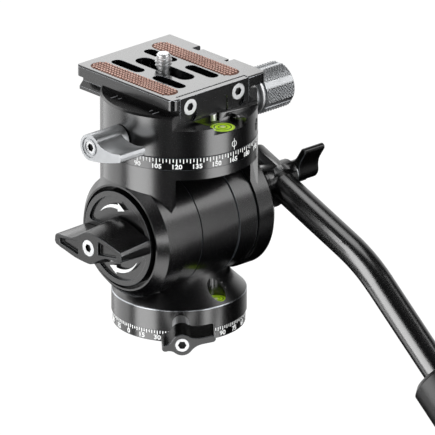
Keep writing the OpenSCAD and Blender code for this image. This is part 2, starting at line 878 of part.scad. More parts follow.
module handle_bolt() {
    color("#b9bcc0")
        union() {
            at_pivot(slot_right + 2.1)
                cylinder(d = handle_bolt_d, h = holder_x - slot_right - 2.2, $fn = small);
            at_pivot(holder_x - 1)
                cylinder(d = handle_stud_d, h = 1 + handle_collar_len + handle_wing_h - 2, $fn = small);
        }
}

module pan_scale() {
    color("#202225")
        translate([0, 0, scale_z])
            ring(2 * (yoke_r + scale_step), 2 * yoke_r - 10, scale_h, 96);
}

module top_axle() {
    color("#b9bcc0")
        difference() {
            union() {
                translate([0, 0, flange_z + 0.3])
                    cylinder(d = top_axle_d, h = web_z + lift - flange_z - 0.3, $fn = small);
                translate([0, 0, scale_z])
                    cylinder(d = top_axle_d + 18, h = 2, $fn = fine);
            }
            translate([0, 0, flange_z + 3])
                cylinder(d = pan_bolt_d + 2 * seat, h = 30, $fn = small);
        }
}

module top_cap() {
    color("#9da1a6")
        translate([0, 0, web_z + lift])
            difference() {
                cylinder(d = top_cap_d, h = cap_h, $fn = fine);
                translate([0, 0, -1])
                    cylinder(d = pan_bolt_d + 2 * seat, h = cap_h + 2, $fn = small);
                translate([0, 0, cap_h - 1.6])
                    cylinder(d = pan_bolt_d + 4 + 2 * seat, h = 3, $fn = small);
            }
}

module top_bolt() {
    color("#cfd2d6")
        union() {
            translate([0, 0, flange_z + 4])
                cylinder(d = pan_bolt_d, h = web_z + lift + cap_h - 1.6 - flange_z - 4, $fn = small);
            translate([0, 0, web_z + lift + cap_h - 1.6])
                hex_head(pan_bolt_d + 4, 1.5);
        }
}

module pan_drum() {
    color("#1d1f22")
        difference() {
            union() {
                translate([0, 0, drum_z])
                    cylinder(r = drum_r, h = drum_top - drum_z - drum_chamfer, $fn = 96);
                translate([0, 0, drum_top - drum_chamfer])
                    cylinder(r1 = drum_r, r2 = drum_r - drum_chamfer, h = drum_chamfer, $fn = 96);
                translate([0, 0, spigot_z])
                    cylinder(r = yoke_r - 5.4, h = drum_z - spigot_z + 1, $fn = fine);
            }
            translate([0, 0, spigot_z - 1])
                cylinder(d = top_axle_d + 2 * run, h = 20, $fn = small);
            translate([0, 0, web_z])
                cylinder(d = top_cap_d + 0.6, h = 20, $fn = fine);
            translate([0, 40, 0])
                rotate([90, 0, 0])
                    linear_extrude(80)
                        polygon([
                            [-foot_x - jaw_gap, clamp_z],
                            [-foot_x - jaw_gap, clamp_z + foot_side + jaw_gap],
                            [-neck_x - jaw_gap, clamp_z + foot_side + foot_flank + jaw_gap],
                            [-neck_x - jaw_gap, drum_top + 1],
                            [drum_r + 1, drum_top + 1],
                            [drum_r + 1, clamp_z]]);
            translate([neck_x - 0.8, -40, jaw_base_z - 0.1])
                cube([20, 80, 10]);
            translate([skirt_x, -40, drum_top - skirt_h - 0.15])
                cube([20, 80, 20]);
            translate([-plate_left - 0.3, -front_face_y - 20, ledge_z])
                cube([80, 20, 20]);
            translate([-vial_notch_x, -front_face_y - 20, notch_z])
                cube([2 * vial_notch_x, 20, 20]);
            translate([0, -top_vial_y, notch_z - 3.6])
                cylinder(d = top_vial_d + 2 * vial_ring_w + 2 * seat, h = 10, $fn = small);
            translate([stop_pin_x - stop_pin_d / 2 - 0.3, -front_face_y - 1, plate_z - stop_pin_h - 0.3])
                cube([stop_pin_d + 0.6, stop_pin_y + stop_pin_d / 2 + plate_travel + 1.3 + front_face_y, 6]);
            translate([0, -clamp_screw_y, clamp_screw_z])
                along_x(-16, drum_r, clamp_screw_d + 2 * run);
            translate([0, -clamp_screw_y, clamp_screw_z]) {
                along_x(skirt_x - 2.4, drum_r, clip_d + 0.6);
                along_x(spot_x - 0.2, drum_r + 1, knob_neck_d + 0.8, fine);
            }
            for (s = [-1, 1])
                translate([0, s * jaw_pin_y, jaw_pin_z])
                    along_x(7, drum_r, jaw_pin_d + 2 * run);
            translate([0, 0, comma_z]) {
                along_x(-drum_r - 1, -5, lock_screw_d + 2 * run);
                along_x(-14.2, -5, lock_screw_d + 1.8 + 2 * run);
            }
            rotate([0, 0, set_hole_angle])
                translate([0, 0, comma_z])
                    along_x(drum_r - 5, drum_r + 1, set_hole_d);
        }
}

module top_vial() {
    color("#b7e23a")
        translate([0, -top_vial_y, notch_z - 3.5])
            cylinder(d = top_vial_d, h = 3.6, $fn = small);
}

module vial_ring() {
    color("#15161a")
        translate([0, -top_vial_y, notch_z - 3.5])
            ring(top_vial_d + 2 * vial_ring_w, top_vial_d + 2 * seat, 3.5, small);
}

module top_shoe() {
    color("#a98b4c")
        translate([0, 0, comma_z])
            along_x(-14.1, -top_cap_d / 2 - 0.3, lock_screw_d + 1.8);
}

module set_screw() {
    color("#9da1a6")
        rotate([0, 0, set_hole_angle])
            translate([drum_r - 4.9, 0, comma_z])
                rotate([0, 90, 0])
                    hex_head(set_hole_d - 2 * seat, 3.4);
}

module top_lever() {
    k = comma_len / 16.9;
    color("#c9ccd0")
        difference() {
            union() {
                at_left(drum_r + comma_gap, comma_z)
                    cylinder(d = comma_d, h = comma_x - drum_r - comma_gap, $fn = fine);
                at_left(comma_x - comma_h, comma_z)
                    linear_extrude(comma_h)
                        scale([k, comma_d / 10.2])
                            polygon([
                                [0, 0], [3.3, 3.85], [4.4, 2.8], [6, 1.9], [8.3, 1.25], [10.5, 1.08],
                                [12.2, 1.12], [14.2, 1.42], [15.9, 1.8], [16.6, 1.5], [16.9, 0.3],
                                [16.8, -0.9], [16.3, -1.4], [11.1, -3], [5.5, -4.35], [1, -4.95]]);
            }
            at_left(0, comma_z)
                cylinder(d = lock_screw_d + 2 * seat, h = comma_x + 1, $fn = small);
            at_left(comma_x - 1.6, comma_z)
                cylinder(d = lock_screw_d + 1 + 2 * seat, h = 3, $fn = small);
            at_left(comma_x - 0.4, comma_z)
                difference() {
                    cylinder(d = 0.78 * comma_d, h = 1, $fn = small);
                    translate([0, 0, -1])
                        cylinder(d = 0.62 * comma_d, h = 3, $fn = small);
                }
        }
}

module top_stud() {
    color("#9da1a6")
        union() {
            at_left(14.2, comma_z)
                cylinder(d = lock_screw_d, h = comma_x - 1.6 - 14.2, $fn = small);
            at_left(comma_x - 1.6, comma_z)
                hex_head(lock_screw_d + 1, head_t);
        }
}

module jaw() {
    color("#1d1f22")
        difference() {
            union() {
                intersection() {
                    translate([0, jaw_y, 0])
                        rotate([90, 0, 0])
                            linear_extrude(2 * jaw_y)
                                polygon([
                                    [neck_x - 0.6, jaw_base_z], [neck_x - 0.6, clamp_z - 0.1],
                                    [foot_x + jaw_gap, clamp_z - 0.1],
                                    [foot_x + jaw_gap, clamp_z + foot_side + jaw_gap],
                                    [neck_x + jaw_gap, clamp_z + foot_side + foot_flank + jaw_gap],
                                    [neck_x + jaw_gap, drum_top],
                                    [drum_r + 1, drum_top],
                                    [drum_r + 1, drum_top - skirt_h],
                                    [skirt_x + 0.1, drum_top - skirt_h],
                                    [skirt_x + 0.1, jaw_base_z]]);
                    union() {
                        translate([0, 0, drum_z])
                            cylinder(r = drum_r, h = drum_top - drum_z - drum_chamfer, $fn = 96);
                        translate([0, 0, drum_top - drum_chamfer])
                            cylinder(r1 = drum_r, r2 = drum_r - drum_chamfer, h = drum_chamfer, $fn = 96);
                    }
                }
                translate([plate_right - notch_t + 0.3, notch_y - tab_w / 2, drum_top - 1])
                    cube([tab_t, tab_w, tab_h + 1]);
            }
            translate([0, -clamp_screw_y, clamp_screw_z]) {
                along_x(0, drum_r + 1, clamp_screw_d + 2 * run);
                along_x(spot_x, drum_r + 4, knob_neck_d + 0.8, fine);
                along_x(skirt_x - 1, skirt_x + 0.1, clip_d + 0.3);
            }
            for (s = [-1, 1])
                translate([0, s * jaw_pin_y, jaw_pin_z])
                    along_x(0, skirt_x + 1.2, jaw_pin_d + 2 * seat);
        }
}

module jaw_pin(s) {
    color("#cfd2d6")
        translate([0, s * jaw_pin_y, jaw_pin_z])
            along_x(9, skirt_x + 1.1, jaw_pin_d);
}

module jaw_pin_front() {
    jaw_pin(-1);
}

module jaw_pin_back() {
    jaw_pin(1);
}

module knob() {
    x0 = knob_x + knob_ring_w;
    x1 = knob_x + knob_len;
    c = 1.2;
    color("#2a2c30")
        translate([0, -clamp_screw_y, clamp_screw_z])
            difference() {
                union() {
                    along_x(spot_x + 0.1, knob_x + 0.5, knob_neck_d);
                    along_x(knob_x, x0 + knob_groove_w + 0.5, knob_d - 2.4);
                    along_x(x0 + knob_groove_w, x1 - c, knob_d, fine);
                    translate([x1 - c, 0, 0])
                        rotate([0, 90, 0])
                            cylinder(d1 = knob_d, d2 = knob_d - 2 * c, h = c, $fn = fine);
                }
                along_x(spot_x - 1, x1 - 5, clamp_screw_d + 2 * seat);
                for (k = [0:knob_flutes - 1])
                    rotate([360 * k / knob_flutes, 0, 0])
                        translate([x0 + knob_groove_w - 0.5, -knob_flute_w / 2, knob_d / 2 - knob_flute_t])
                            cube([knob_len, knob_flute_w, 3]);
            }
}

module knob_ring() {
    color("#cfd2d6")
        translate([knob_x, -clamp_screw_y, clamp_screw_z])
            rotate([0, 90, 0])
                ring(knob_d - 0.6, knob_d - 2.4 + 2 * seat, knob_ring_w);
}

module clamp_screw() {
    color("#b9bcc0")
        translate([0, -clamp_screw_y, clamp_screw_z])
            along_x(-8, knob_x + knob_len - 5.1, clamp_screw_d);
}

module clamp_clip() {
    color("#9da1a6")
        translate([skirt_x - clip_t, -clamp_screw_y, clamp_screw_z])
            rotate([0, 90, 0])
                ring(clip_d, clamp_screw_d + 2 * seat, clip_t, small);
}

module quick_plate() {
    w = plate_left + plate_right;
    l = plate_front + plate_back;
    c = plate_chamfer;
    under = plate_h - plate_top_t;
    flank = foot_side + foot_flank;
    color("#1d1f22")
        translate([0, 0, plate_z])
            difference() {
                intersection() {
                    translate([0, plate_back, 0])
                        rotate([90, 0, 0])
                            linear_extrude(l)
                                polygon([
                                    [-foot_x, 0], [foot_x, 0], [foot_x, foot_side], [neck_x, flank],
                                    [neck_x, under], [plate_right, under], [plate_right, plate_h - c],
                                    [plate_right - c, plate_h], [c - plate_left, plate_h],
                                    [-plate_left, plate_h - c], [-plate_left, under], [-neck_x, under],
                                    [-neck_x, flank], [-foot_x, foot_side]]);
                    translate([0, 0, -1])
                        linear_extrude(plate_h + 2)
                            polygon(concat(
                                arc([plate_right - plate_r, plate_back - plate_r], plate_r, 0, 90, 6),
                                arc([plate_r - plate_left, plate_back - plate_r], plate_r, 90, 180, 6),
                                arc([plate_r - plate_left, plate_r - plate_front], plate_r, 180, 270, 6),
                                arc([plate_right - plate_r, plate_r - plate_front], plate_r, 270, 360, 6)));
                    translate([-plate_left - 1, 0, 0])
                        rotate([90, 0, 90])
                            linear_extrude(w + 2)
                                polygon([
                                    [-plate_front, 0], [plate_back, 0], [plate_back, plate_h - c],
                                    [plate_back - c, plate_h], [c - plate_front, plate_h],
                                    [-plate_front, plate_h - c]]);
                }
                translate([-bar_x - seat, -plate_front - 1, -1])
                    cube([2 * bar_x + 2 * seat, bar_t + 1 + seat, plate_h + 2]);
                translate([-plate_hollow_x, slot_y - 21, -1])
                    cube([2 * plate_hollow_x, 41, under + 1]);
                translate([0, slot_y, 0])
                    linear_extrude(plate_h + 1)
                        polygon(slot_outline(slot_w, slot_len));
                for (s = [-1, 1], t = [-1, 1])
                    translate([s * side_slot_x, slot_y + t * side_slot_pitch / 2, 0])
                        linear_extrude(plate_h + 1)
                            polygon(slot_outline(side_slot_w, side_slot_len));
                translate([plate_right - notch_t, notch_y - tab_w / 2 - notch_play, -1])
                    cube([notch_t + 1, tab_w + 2 * notch_play, plate_h + 2]);
                for (s = [-1, 1])
                    translate([s * pad_x, slot_y, plate_h + pad_rise - pad_t])
                        linear_extrude(2)
                            polygon(slot_outline(pad_w + 2 * seat, pad_len + 2 * seat));
                for (s = [-1, 1])
                    translate([s * bar_pitch / 2, bar_t - plate_front - 1, bar_screw_z - plate_z])
                        rotate([-90, 0, 0])
                            cylinder(d = 3 + 2 * seat, h = 7, $fn = small);
            }
}

module pad(s) {
    color("#8a5a3c")
        translate([s * pad_x, slot_y, plate_top + pad_rise - pad_t])
            linear_extrude(pad_t)
                polygon(slot_outline(pad_w, pad_len));
}

module pad_left() {
    pad(-1);
}

module pad_right() {
    pad(1);
}

module stop_bar() {
    color("#202225")
        difference() {
            translate([-bar_x, -plate_front, plate_z])
                cube([2 * bar_x, bar_t, plate_h - 0.2]);
            for (s = [-1, 1]) {
                translate([s * bar_pitch / 2, -plate_front - 1, bar_screw_z])
                    rotate([-90, 0, 0])
                        cylinder(d = 3 + 2 * seat, h = bar_t + 2, $fn = small);
                translate([s * bar_pitch / 2, -plate_front - 1, bar_screw_z])
                    rotate([-90, 0, 0])
                        cylinder(d = head_d + 2 * seat, h = 2.4, $fn = small);
                translate([s * bar_pitch / 2, -plate_front - 1, bar_screw_z - head_d / 2])
                    rotate([-90, 0, 0])
                        cylinder(d = head_d + 2 * seat, h = 2.1, $fn = small);
            }
            translate([-bar_pocket_w / 2, -plate_front - 1, plate_z - 1])
                cube([bar_pocket_w, bar_pocket_t + 1, bar_pocket_top - bar_pocket_r - plate_z + 1]);
            translate([bar_pocket_r - bar_pocket_w / 2, -plate_front - 1, plate_z - 1])
                cube([bar_pocket_w - 2 * bar_pocket_r, bar_pocket_t + 1, bar_pocket_top - plate_z + 1]);
            for (s = [-1, 1])
                translate([s * (bar_pocket_w / 2 - bar_pocket_r), -plate_front - 1, bar_pocket_top - bar_pocket_r])
                    rotate([-90, 0, 0])
                        cylinder(r = bar_pocket_r, h = bar_pocket_t + 1, $fn = small);
            translate([stop_pin_x, stop_pin_y, plate_z - 1])
                cylinder(d = stop_pin_shank_d + 2 * seat, h = stop_pin_h + 1, $fn = small);
        }
}

module bar_screw(s) {
    color("#cfd2d6")
        union() {
            translate([s * bar_pitch / 2, 1.4 - plate_front, bar_screw_z])
                rotate([90, 0, 0])
                    hex_head(head_d, 1.3);
            translate([s * bar_pitch / 2, 1.3 - plate_front, bar_screw_z])
                rotate([-90, 0, 0])
                    cylinder(d = 3, h = 6, $fn = small);
        }
}

module bar_screw_left() {
    bar_screw(-1);
}

module bar_screw_right() {
    bar_screw(1);
}

module stop_pin() {
    color("#cfd2d6")
        translate([stop_pin_x, stop_pin_y, plate_z - stop_pin_h])
            union() {
                cylinder(d = stop_pin_d, h = stop_pin_h, $fn = small);
                cylinder(d = stop_pin_shank_d, h = 2 * stop_pin_h - 0.1, $fn = small);
            }
}

module screw_washer() {
    color("#15161a")
        translate([0, camera_screw_y, plate_z + plate_h - plate_top_t - 0.7])
            ring(camera_head_d, camera_screw_d + 2 * run, 0.6, small);
}

module camera_screw() {
    z = plate_z + plate_h - plate_top_t - 0.75;
    color("#cfd2d6")
        translate([0, camera_screw_y, 0])
            difference() {
                union() {
                    translate([0, 0, z - camera_head_h])
                        cylinder(d = camera_head_d, h = camera_head_h, $fn = small);
                    translate([0, 0, z - 0.5])
                        cylinder(d = camera_neck_d, h = camera_thread_z - z + 1, $fn = small);
                    translate([0, 0, camera_thread_z])
                        cylinder(d = camera_screw_d, h = camera_screw_rise - 0.6 - 0.2, $fn = small);
                    translate([0, 0, plate_top + camera_screw_rise - 0.6])
                        cylinder(d1 = camera_screw_d, d2 = camera_screw_d - 1.2, h = 0.6, $fn = small);
                }
                translate([-camera_head_d, -0.6, z - camera_head_h - 1])
                    cube([2 * camera_head_d, 1.2, 2]);
            }
}

module holder() {
    color("#1d1f22")
        difference() {
            union() {
                at_handle() {
                    translate([0, sleeve_back, 0])
                        rotate([90, 0, 0])
                            cylinder(d = sleeve_d, h = sleeve_back + sleeve_front, $fn = fine);
                    translate([0, mouth_len - sleeve_front, 0])
                        rotate([90, 0, 0])
                            cylinder(d = mouth_d, h = mouth_len, $fn = fine);
                }
                at_pivot(ear_x + rosette_t + 0.1)
                    cylinder(d = rosette_d, h = rosette_t, $fn = fine);
                at_pivot(hub_x - 0.2)
                    cylinder(d = holder_hub_d, h = handle_x - hub_x, $fn = fine);
                at_pivot(handle_x)
                    cylinder(d = holder_hub_d - 1, h = holder_x - handle_x, $fn = small);
                difference() {
                    at_pivot(hub_x + 0.8)
                        cylinder(d = holder_cheek_d, h = holder_cheek_t, $fn = fine);
                    at_handle()
                        translate([-20, -holder_cheek_d, 0])
                            cube([40, 2 * holder_cheek_d, holder_cheek_d]);
                }
            }
            at_pivot(ear_x)
                cylinder(d = handle_bolt_d + 2 * run, h = 30, $fn = small);
            at_handle()
                translate([0, sleeve_back - 2, 0])
                    rotate([90, 0, 0])
                        cylinder(d = tube_d + 2 * seat, h = 40, $fn = fine);
        }
}

module tube_path(d0, first, second) {
    at_handle() {
        translate([0, first, 0])
            rotate([90, 0, 0])
                cylinder(d = d0, h = first + tube_first, $fn = small);
        translate([0, -tube_first, -bend_r]) {
            rotate([0, -90, 180])
                rotate_extrude(angle = bend_angle, $fn = 160)
                    translate([bend_r, 0])
                        circle(d = d0, $fn = small);
            rotate([bend_angle, 0, 0])
                translate([0, 1, bend_r])
                    rotate([90, 0, 0])
                        cylinder(d = d0 - tube_draw, h = second + 1, $fn = small);
        }
    }
}

module handle_tube() {
    color("#17181b")
        difference() {
            tube_path(tube_d, sleeve_back - 2.1, tube_second);
            tube_path(tube_d - 2 * tube_wall, sleeve_back, tube_second + 1);
            at_pivot(ear_x)
                cylinder(d = handle_bolt_d + 0.6, h = 30, $fn = small);
        }
}

module at_grip(y) {
    at_handle()
        translate([0, -tube_first, -bend_r])
            rotate([bend_angle, 0, 0])
                translate([0, -y, bend_r])
                    rotate([90, 0, 0])
                        children();
}

module grip() {
    color("#26272a")
        at_grip(tube_second - grip_len)
            difference() {
                rotate_extrude($fn = fine)
                    polygon([
                        [0, 0], [grip_d / 2 - 2, 0], [grip_d / 2, 2], [grip_d / 2, grip_len - 2],
                        [grip_d / 2 - 2, grip_len], [0, grip_len]]);
                translate([0, 0, -1])
                    cylinder(d = tube_d + 2 * seat, h = grip_len + 2, $fn = small);
            }
}

module end_cap() {
    color("#15161a")
        at_grip(tube_second + 0.02)
            union() {
                cylinder(d = grip_d - 3, h = cap_t, $fn = fine);
                translate([0, 0, -8])
                    cylinder(d = tube_d - 2 * tube_wall - tube_draw - 2 * seat, h = 9, $fn = small);
            }
}

module handle_collar() {
    color("#cfd2d6")
        at_pivot(holder_x + 0.1)
            ring(handle_collar_d, handle_stud_d + 2 * run, handle_collar_len, small);
}

module handle_lever() {
    color("#232528")
        at_pivot(holder_x + 0.1 + handle_collar_len)
            rotate([0, 0, handle_wing_turn])
                wing_lever(handle_wing_h, handle_stud_d + 2 * run, handle_wing_h - 1.8, lock_screw_d + 1);
}

module handle_screw() {
    color("#cfd2d6")
        at_pivot(holder_x + 0.1 + handle_collar_len + handle_wing_h - head_t)
            hex_head(lock_screw_d + 1, head_t);
}

base_ring();
base_spindle();
thread_bush();
pan_retainer();
pan_bolt();
pan_housing();
left_cover();
right_cover();
left_bush();
right_bush();
base_vial();
pan_shoe();
pan_collar();
pan_lever();
pan_stud();
yoke();
tilt_pad();
tilt_axle();
tilt_rotor();
tilt_dial();
tilt_lever();
tilt_lever_screw();
rosette_base();
handle_bolt();
pan_scale();
top_axle();
top_cap();
top_bolt();
pan_drum();
top_vial();
vial_ring();
top_shoe();
set_screw();
top_lever();
top_stud();
jaw();
jaw_pin_front();
jaw_pin_back();
knob();
knob_ring();
clamp_screw();
clamp_clip();
quick_plate();
pad_left();
pad_right();
stop_bar();
bar_screw_left();
bar_screw_right();
stop_pin();
screw_washer();
camera_screw();
holder();
handle_tube();
grip();
end_cap();
handle_collar();
handle_lever();
handle_screw();
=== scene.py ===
import json
import math

import bmesh
import bpy
from mathutils import Matrix, Vector

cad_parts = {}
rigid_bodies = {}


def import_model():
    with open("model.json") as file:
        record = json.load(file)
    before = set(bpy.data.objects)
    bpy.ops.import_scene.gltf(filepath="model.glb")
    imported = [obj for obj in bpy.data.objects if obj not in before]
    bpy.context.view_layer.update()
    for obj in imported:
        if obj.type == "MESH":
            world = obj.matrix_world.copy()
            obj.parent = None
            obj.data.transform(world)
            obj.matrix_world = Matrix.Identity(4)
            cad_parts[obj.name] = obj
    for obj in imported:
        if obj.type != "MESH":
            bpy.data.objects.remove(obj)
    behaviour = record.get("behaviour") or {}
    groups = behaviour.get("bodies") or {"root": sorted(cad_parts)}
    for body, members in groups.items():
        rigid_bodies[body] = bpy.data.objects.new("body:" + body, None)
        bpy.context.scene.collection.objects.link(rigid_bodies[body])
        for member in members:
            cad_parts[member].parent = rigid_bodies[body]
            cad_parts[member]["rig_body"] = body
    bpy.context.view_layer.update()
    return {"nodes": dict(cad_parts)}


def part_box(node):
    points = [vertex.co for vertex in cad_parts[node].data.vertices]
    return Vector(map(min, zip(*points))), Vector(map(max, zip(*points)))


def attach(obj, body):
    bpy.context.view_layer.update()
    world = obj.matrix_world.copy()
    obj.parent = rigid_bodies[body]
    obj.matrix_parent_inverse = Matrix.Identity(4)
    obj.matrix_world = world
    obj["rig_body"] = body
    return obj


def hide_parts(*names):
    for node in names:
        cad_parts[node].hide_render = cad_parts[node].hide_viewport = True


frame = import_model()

MM = 0.001


def polar(reach, angle):
    """x and y at a distance and an angle in radians."""
    return reach * math.cos(angle), reach * math.sin(angle)


def linked(name, data):
    """A new object of the scene that holds the data."""
    thing = bpy.data.objects.new(name, data)
    bpy.context.scene.collection.objects.link(thing)
    return thing


# Places and sizes of the CAD part in mm. A pair is the y and z of an axis along X.
TILT_Z = 39.45
CLAMP_SCREW = (-5.0, 82.3)
PIVOT = (-11.0, 48.75)
TOP_LOCK_Z = 78.7
PAN_LOCK_Z = 8.0
PAN_LOCK_TURN = math.radians(229.0)
BASE_RING_R = 24.5
SCALE_R = 29.05
SCALE_TOP = 74.0
DRUM_R = 29.0
DRUM_TOP = 90.0
DIAL_FACE = 30.5
PLATE_TOP = 96.15
SLOT_Y = 7.6
BAR_SCREW_X = 11.9
BAR_SCREW_Z = 91.75
CAMERA_SCREW_Y = 8.4
CAMERA_SCREW_R = 3.175
PAD_X = 15.2
PAD_W = 7.6
PAD_LEN = 44.0
PAD_TOP = 96.45
KNOB_R = 8.5
KNOB_FLUTES = 6
KNOB_FLUTE_W = 2.2


# Camera and lamps

# The view has the photograph's scale. Its centre and the sensor are in mm, all distances in m.
PHOTO_PX = 435.0
PX_PER_MM = 2.712
SENSOR_W = 36.0
CAMERA_DISTANCE = 7.0
CAMERA_REACH = 30.0
VIEW_CENTRE = Vector((19.4, 0.4, 34.4))
VIEW_RIGHT = Vector((0.7373, -0.6756, 0.0))
VIEW_UP = Vector((0.2450, 0.2673, 0.9320))
BOX_DISTANCE = 0.8
BOX_MIDDLE = 0.12


def aim_camera():
    """A very long lens, because the photograph hardly narrows with distance."""
    back = VIEW_RIGHT.cross(VIEW_UP).normalized()
    data = bpy.data.cameras.new("photo_camera")
    data.sensor_width = SENSOR_W
    data.lens = PX_PER_MM * CAMERA_DISTANCE / MM * SENSOR_W / PHOTO_PX
    data.clip_end = CAMERA_REACH
    camera = linked("photo_camera", data)
    spot = VIEW_CENTRE * MM + back * CAMERA_DISTANCE
    turn = Matrix((VIEW_RIGHT, VIEW_UP, back)).transposed().to_4x4()
    camera.matrix_world = Matrix.Translation(spot) @ turn
    bpy.context.scene.camera = camera
    bpy.context.scene.view_settings.view_transform = "Standard"


aim_camera()


def softbox(name, spot, aim, size, watts):
    """A white lamp of a width and height in m, at a spot, turned to face its aim."""
    data = bpy.data.lights.new(name, "AREA")
    data.shape = "RECTANGLE"
    data.size, data.size_y = size
    data.energy = watts
    lamp = linked(name, data)
    lamp.location = Vector(spot)
    direction = Vector(aim) - lamp.location
    lamp.rotation_euler = direction.to_track_quat("-Z", "Y").to_euler()
    lamp.visible_camera = False


def standing_box(name, azimuth, size, watts, height=BOX_MIDDLE):
    """A soft box that stands round the object, at an azimuth in degrees from +X."""
    spot = (*polar(BOX_DISTANCE, math.radians(azimuth)), height)
    softbox(name, spot, (0.0, 0.0, height), size, watts)


def light_up():
    """Standing boxes beside the object, and smaller lamps above, before and behind it."""
    # The two broad lights on every upright wall come from a tall box on each side of the view,
    # a little before the object. A wider one on the left stands a little behind it.
    standing_box("key_left", azimuth=169.0, size=(0.58, 1.25), watts=9.0)
    standing_box("wide_left", azimuth=110.0, size=(0.8, 1.25), watts=4.6)
    standing_box("key_right", azimuth=286.0, size=(0.5, 1.25), watts=6.4)
    softbox("high_right", spot=(0.5, -0.52, 0.56), aim=(0.0, 0.0, 0.05), size=(0.4, 0.4), watts=1.0)
    standing_box("front_glint", azimuth=220.0, size=(0.2, 0.12), watts=0.36, height=0.0)
    # A small white card lies before the base: it lights the low lever and leaves the drum black.
    softbox("table_card", spot=(-0.051, -0.059, -0.004), aim=(-0.051, -0.059, 0.1),
            size=(0.06, 0.06), watts=0.018)
    softbox("top_wide", spot=(0.1, 0.1, 1.1), aim=(0.0, 0.0, 0.05), size=(0.6, 0.6), watts=2.0)
    # A lamp behind the plate gives its top a grey glare.
    softbox("back_glare", spot=(0.2, 0.25, 0.223), aim=(-0.021, 0.01, 0.096), size=(0.12, 0.12), watts=0.1)


# Materials

COLOUR_DRIFT_MM = 9.0
RELIEF_STRENGTH = 0.6
METAL = {"Metallic": 1.0}
SHINE = "Specular IOR Level"
DENSE = "IOR"
COAT = "Coat Weight"

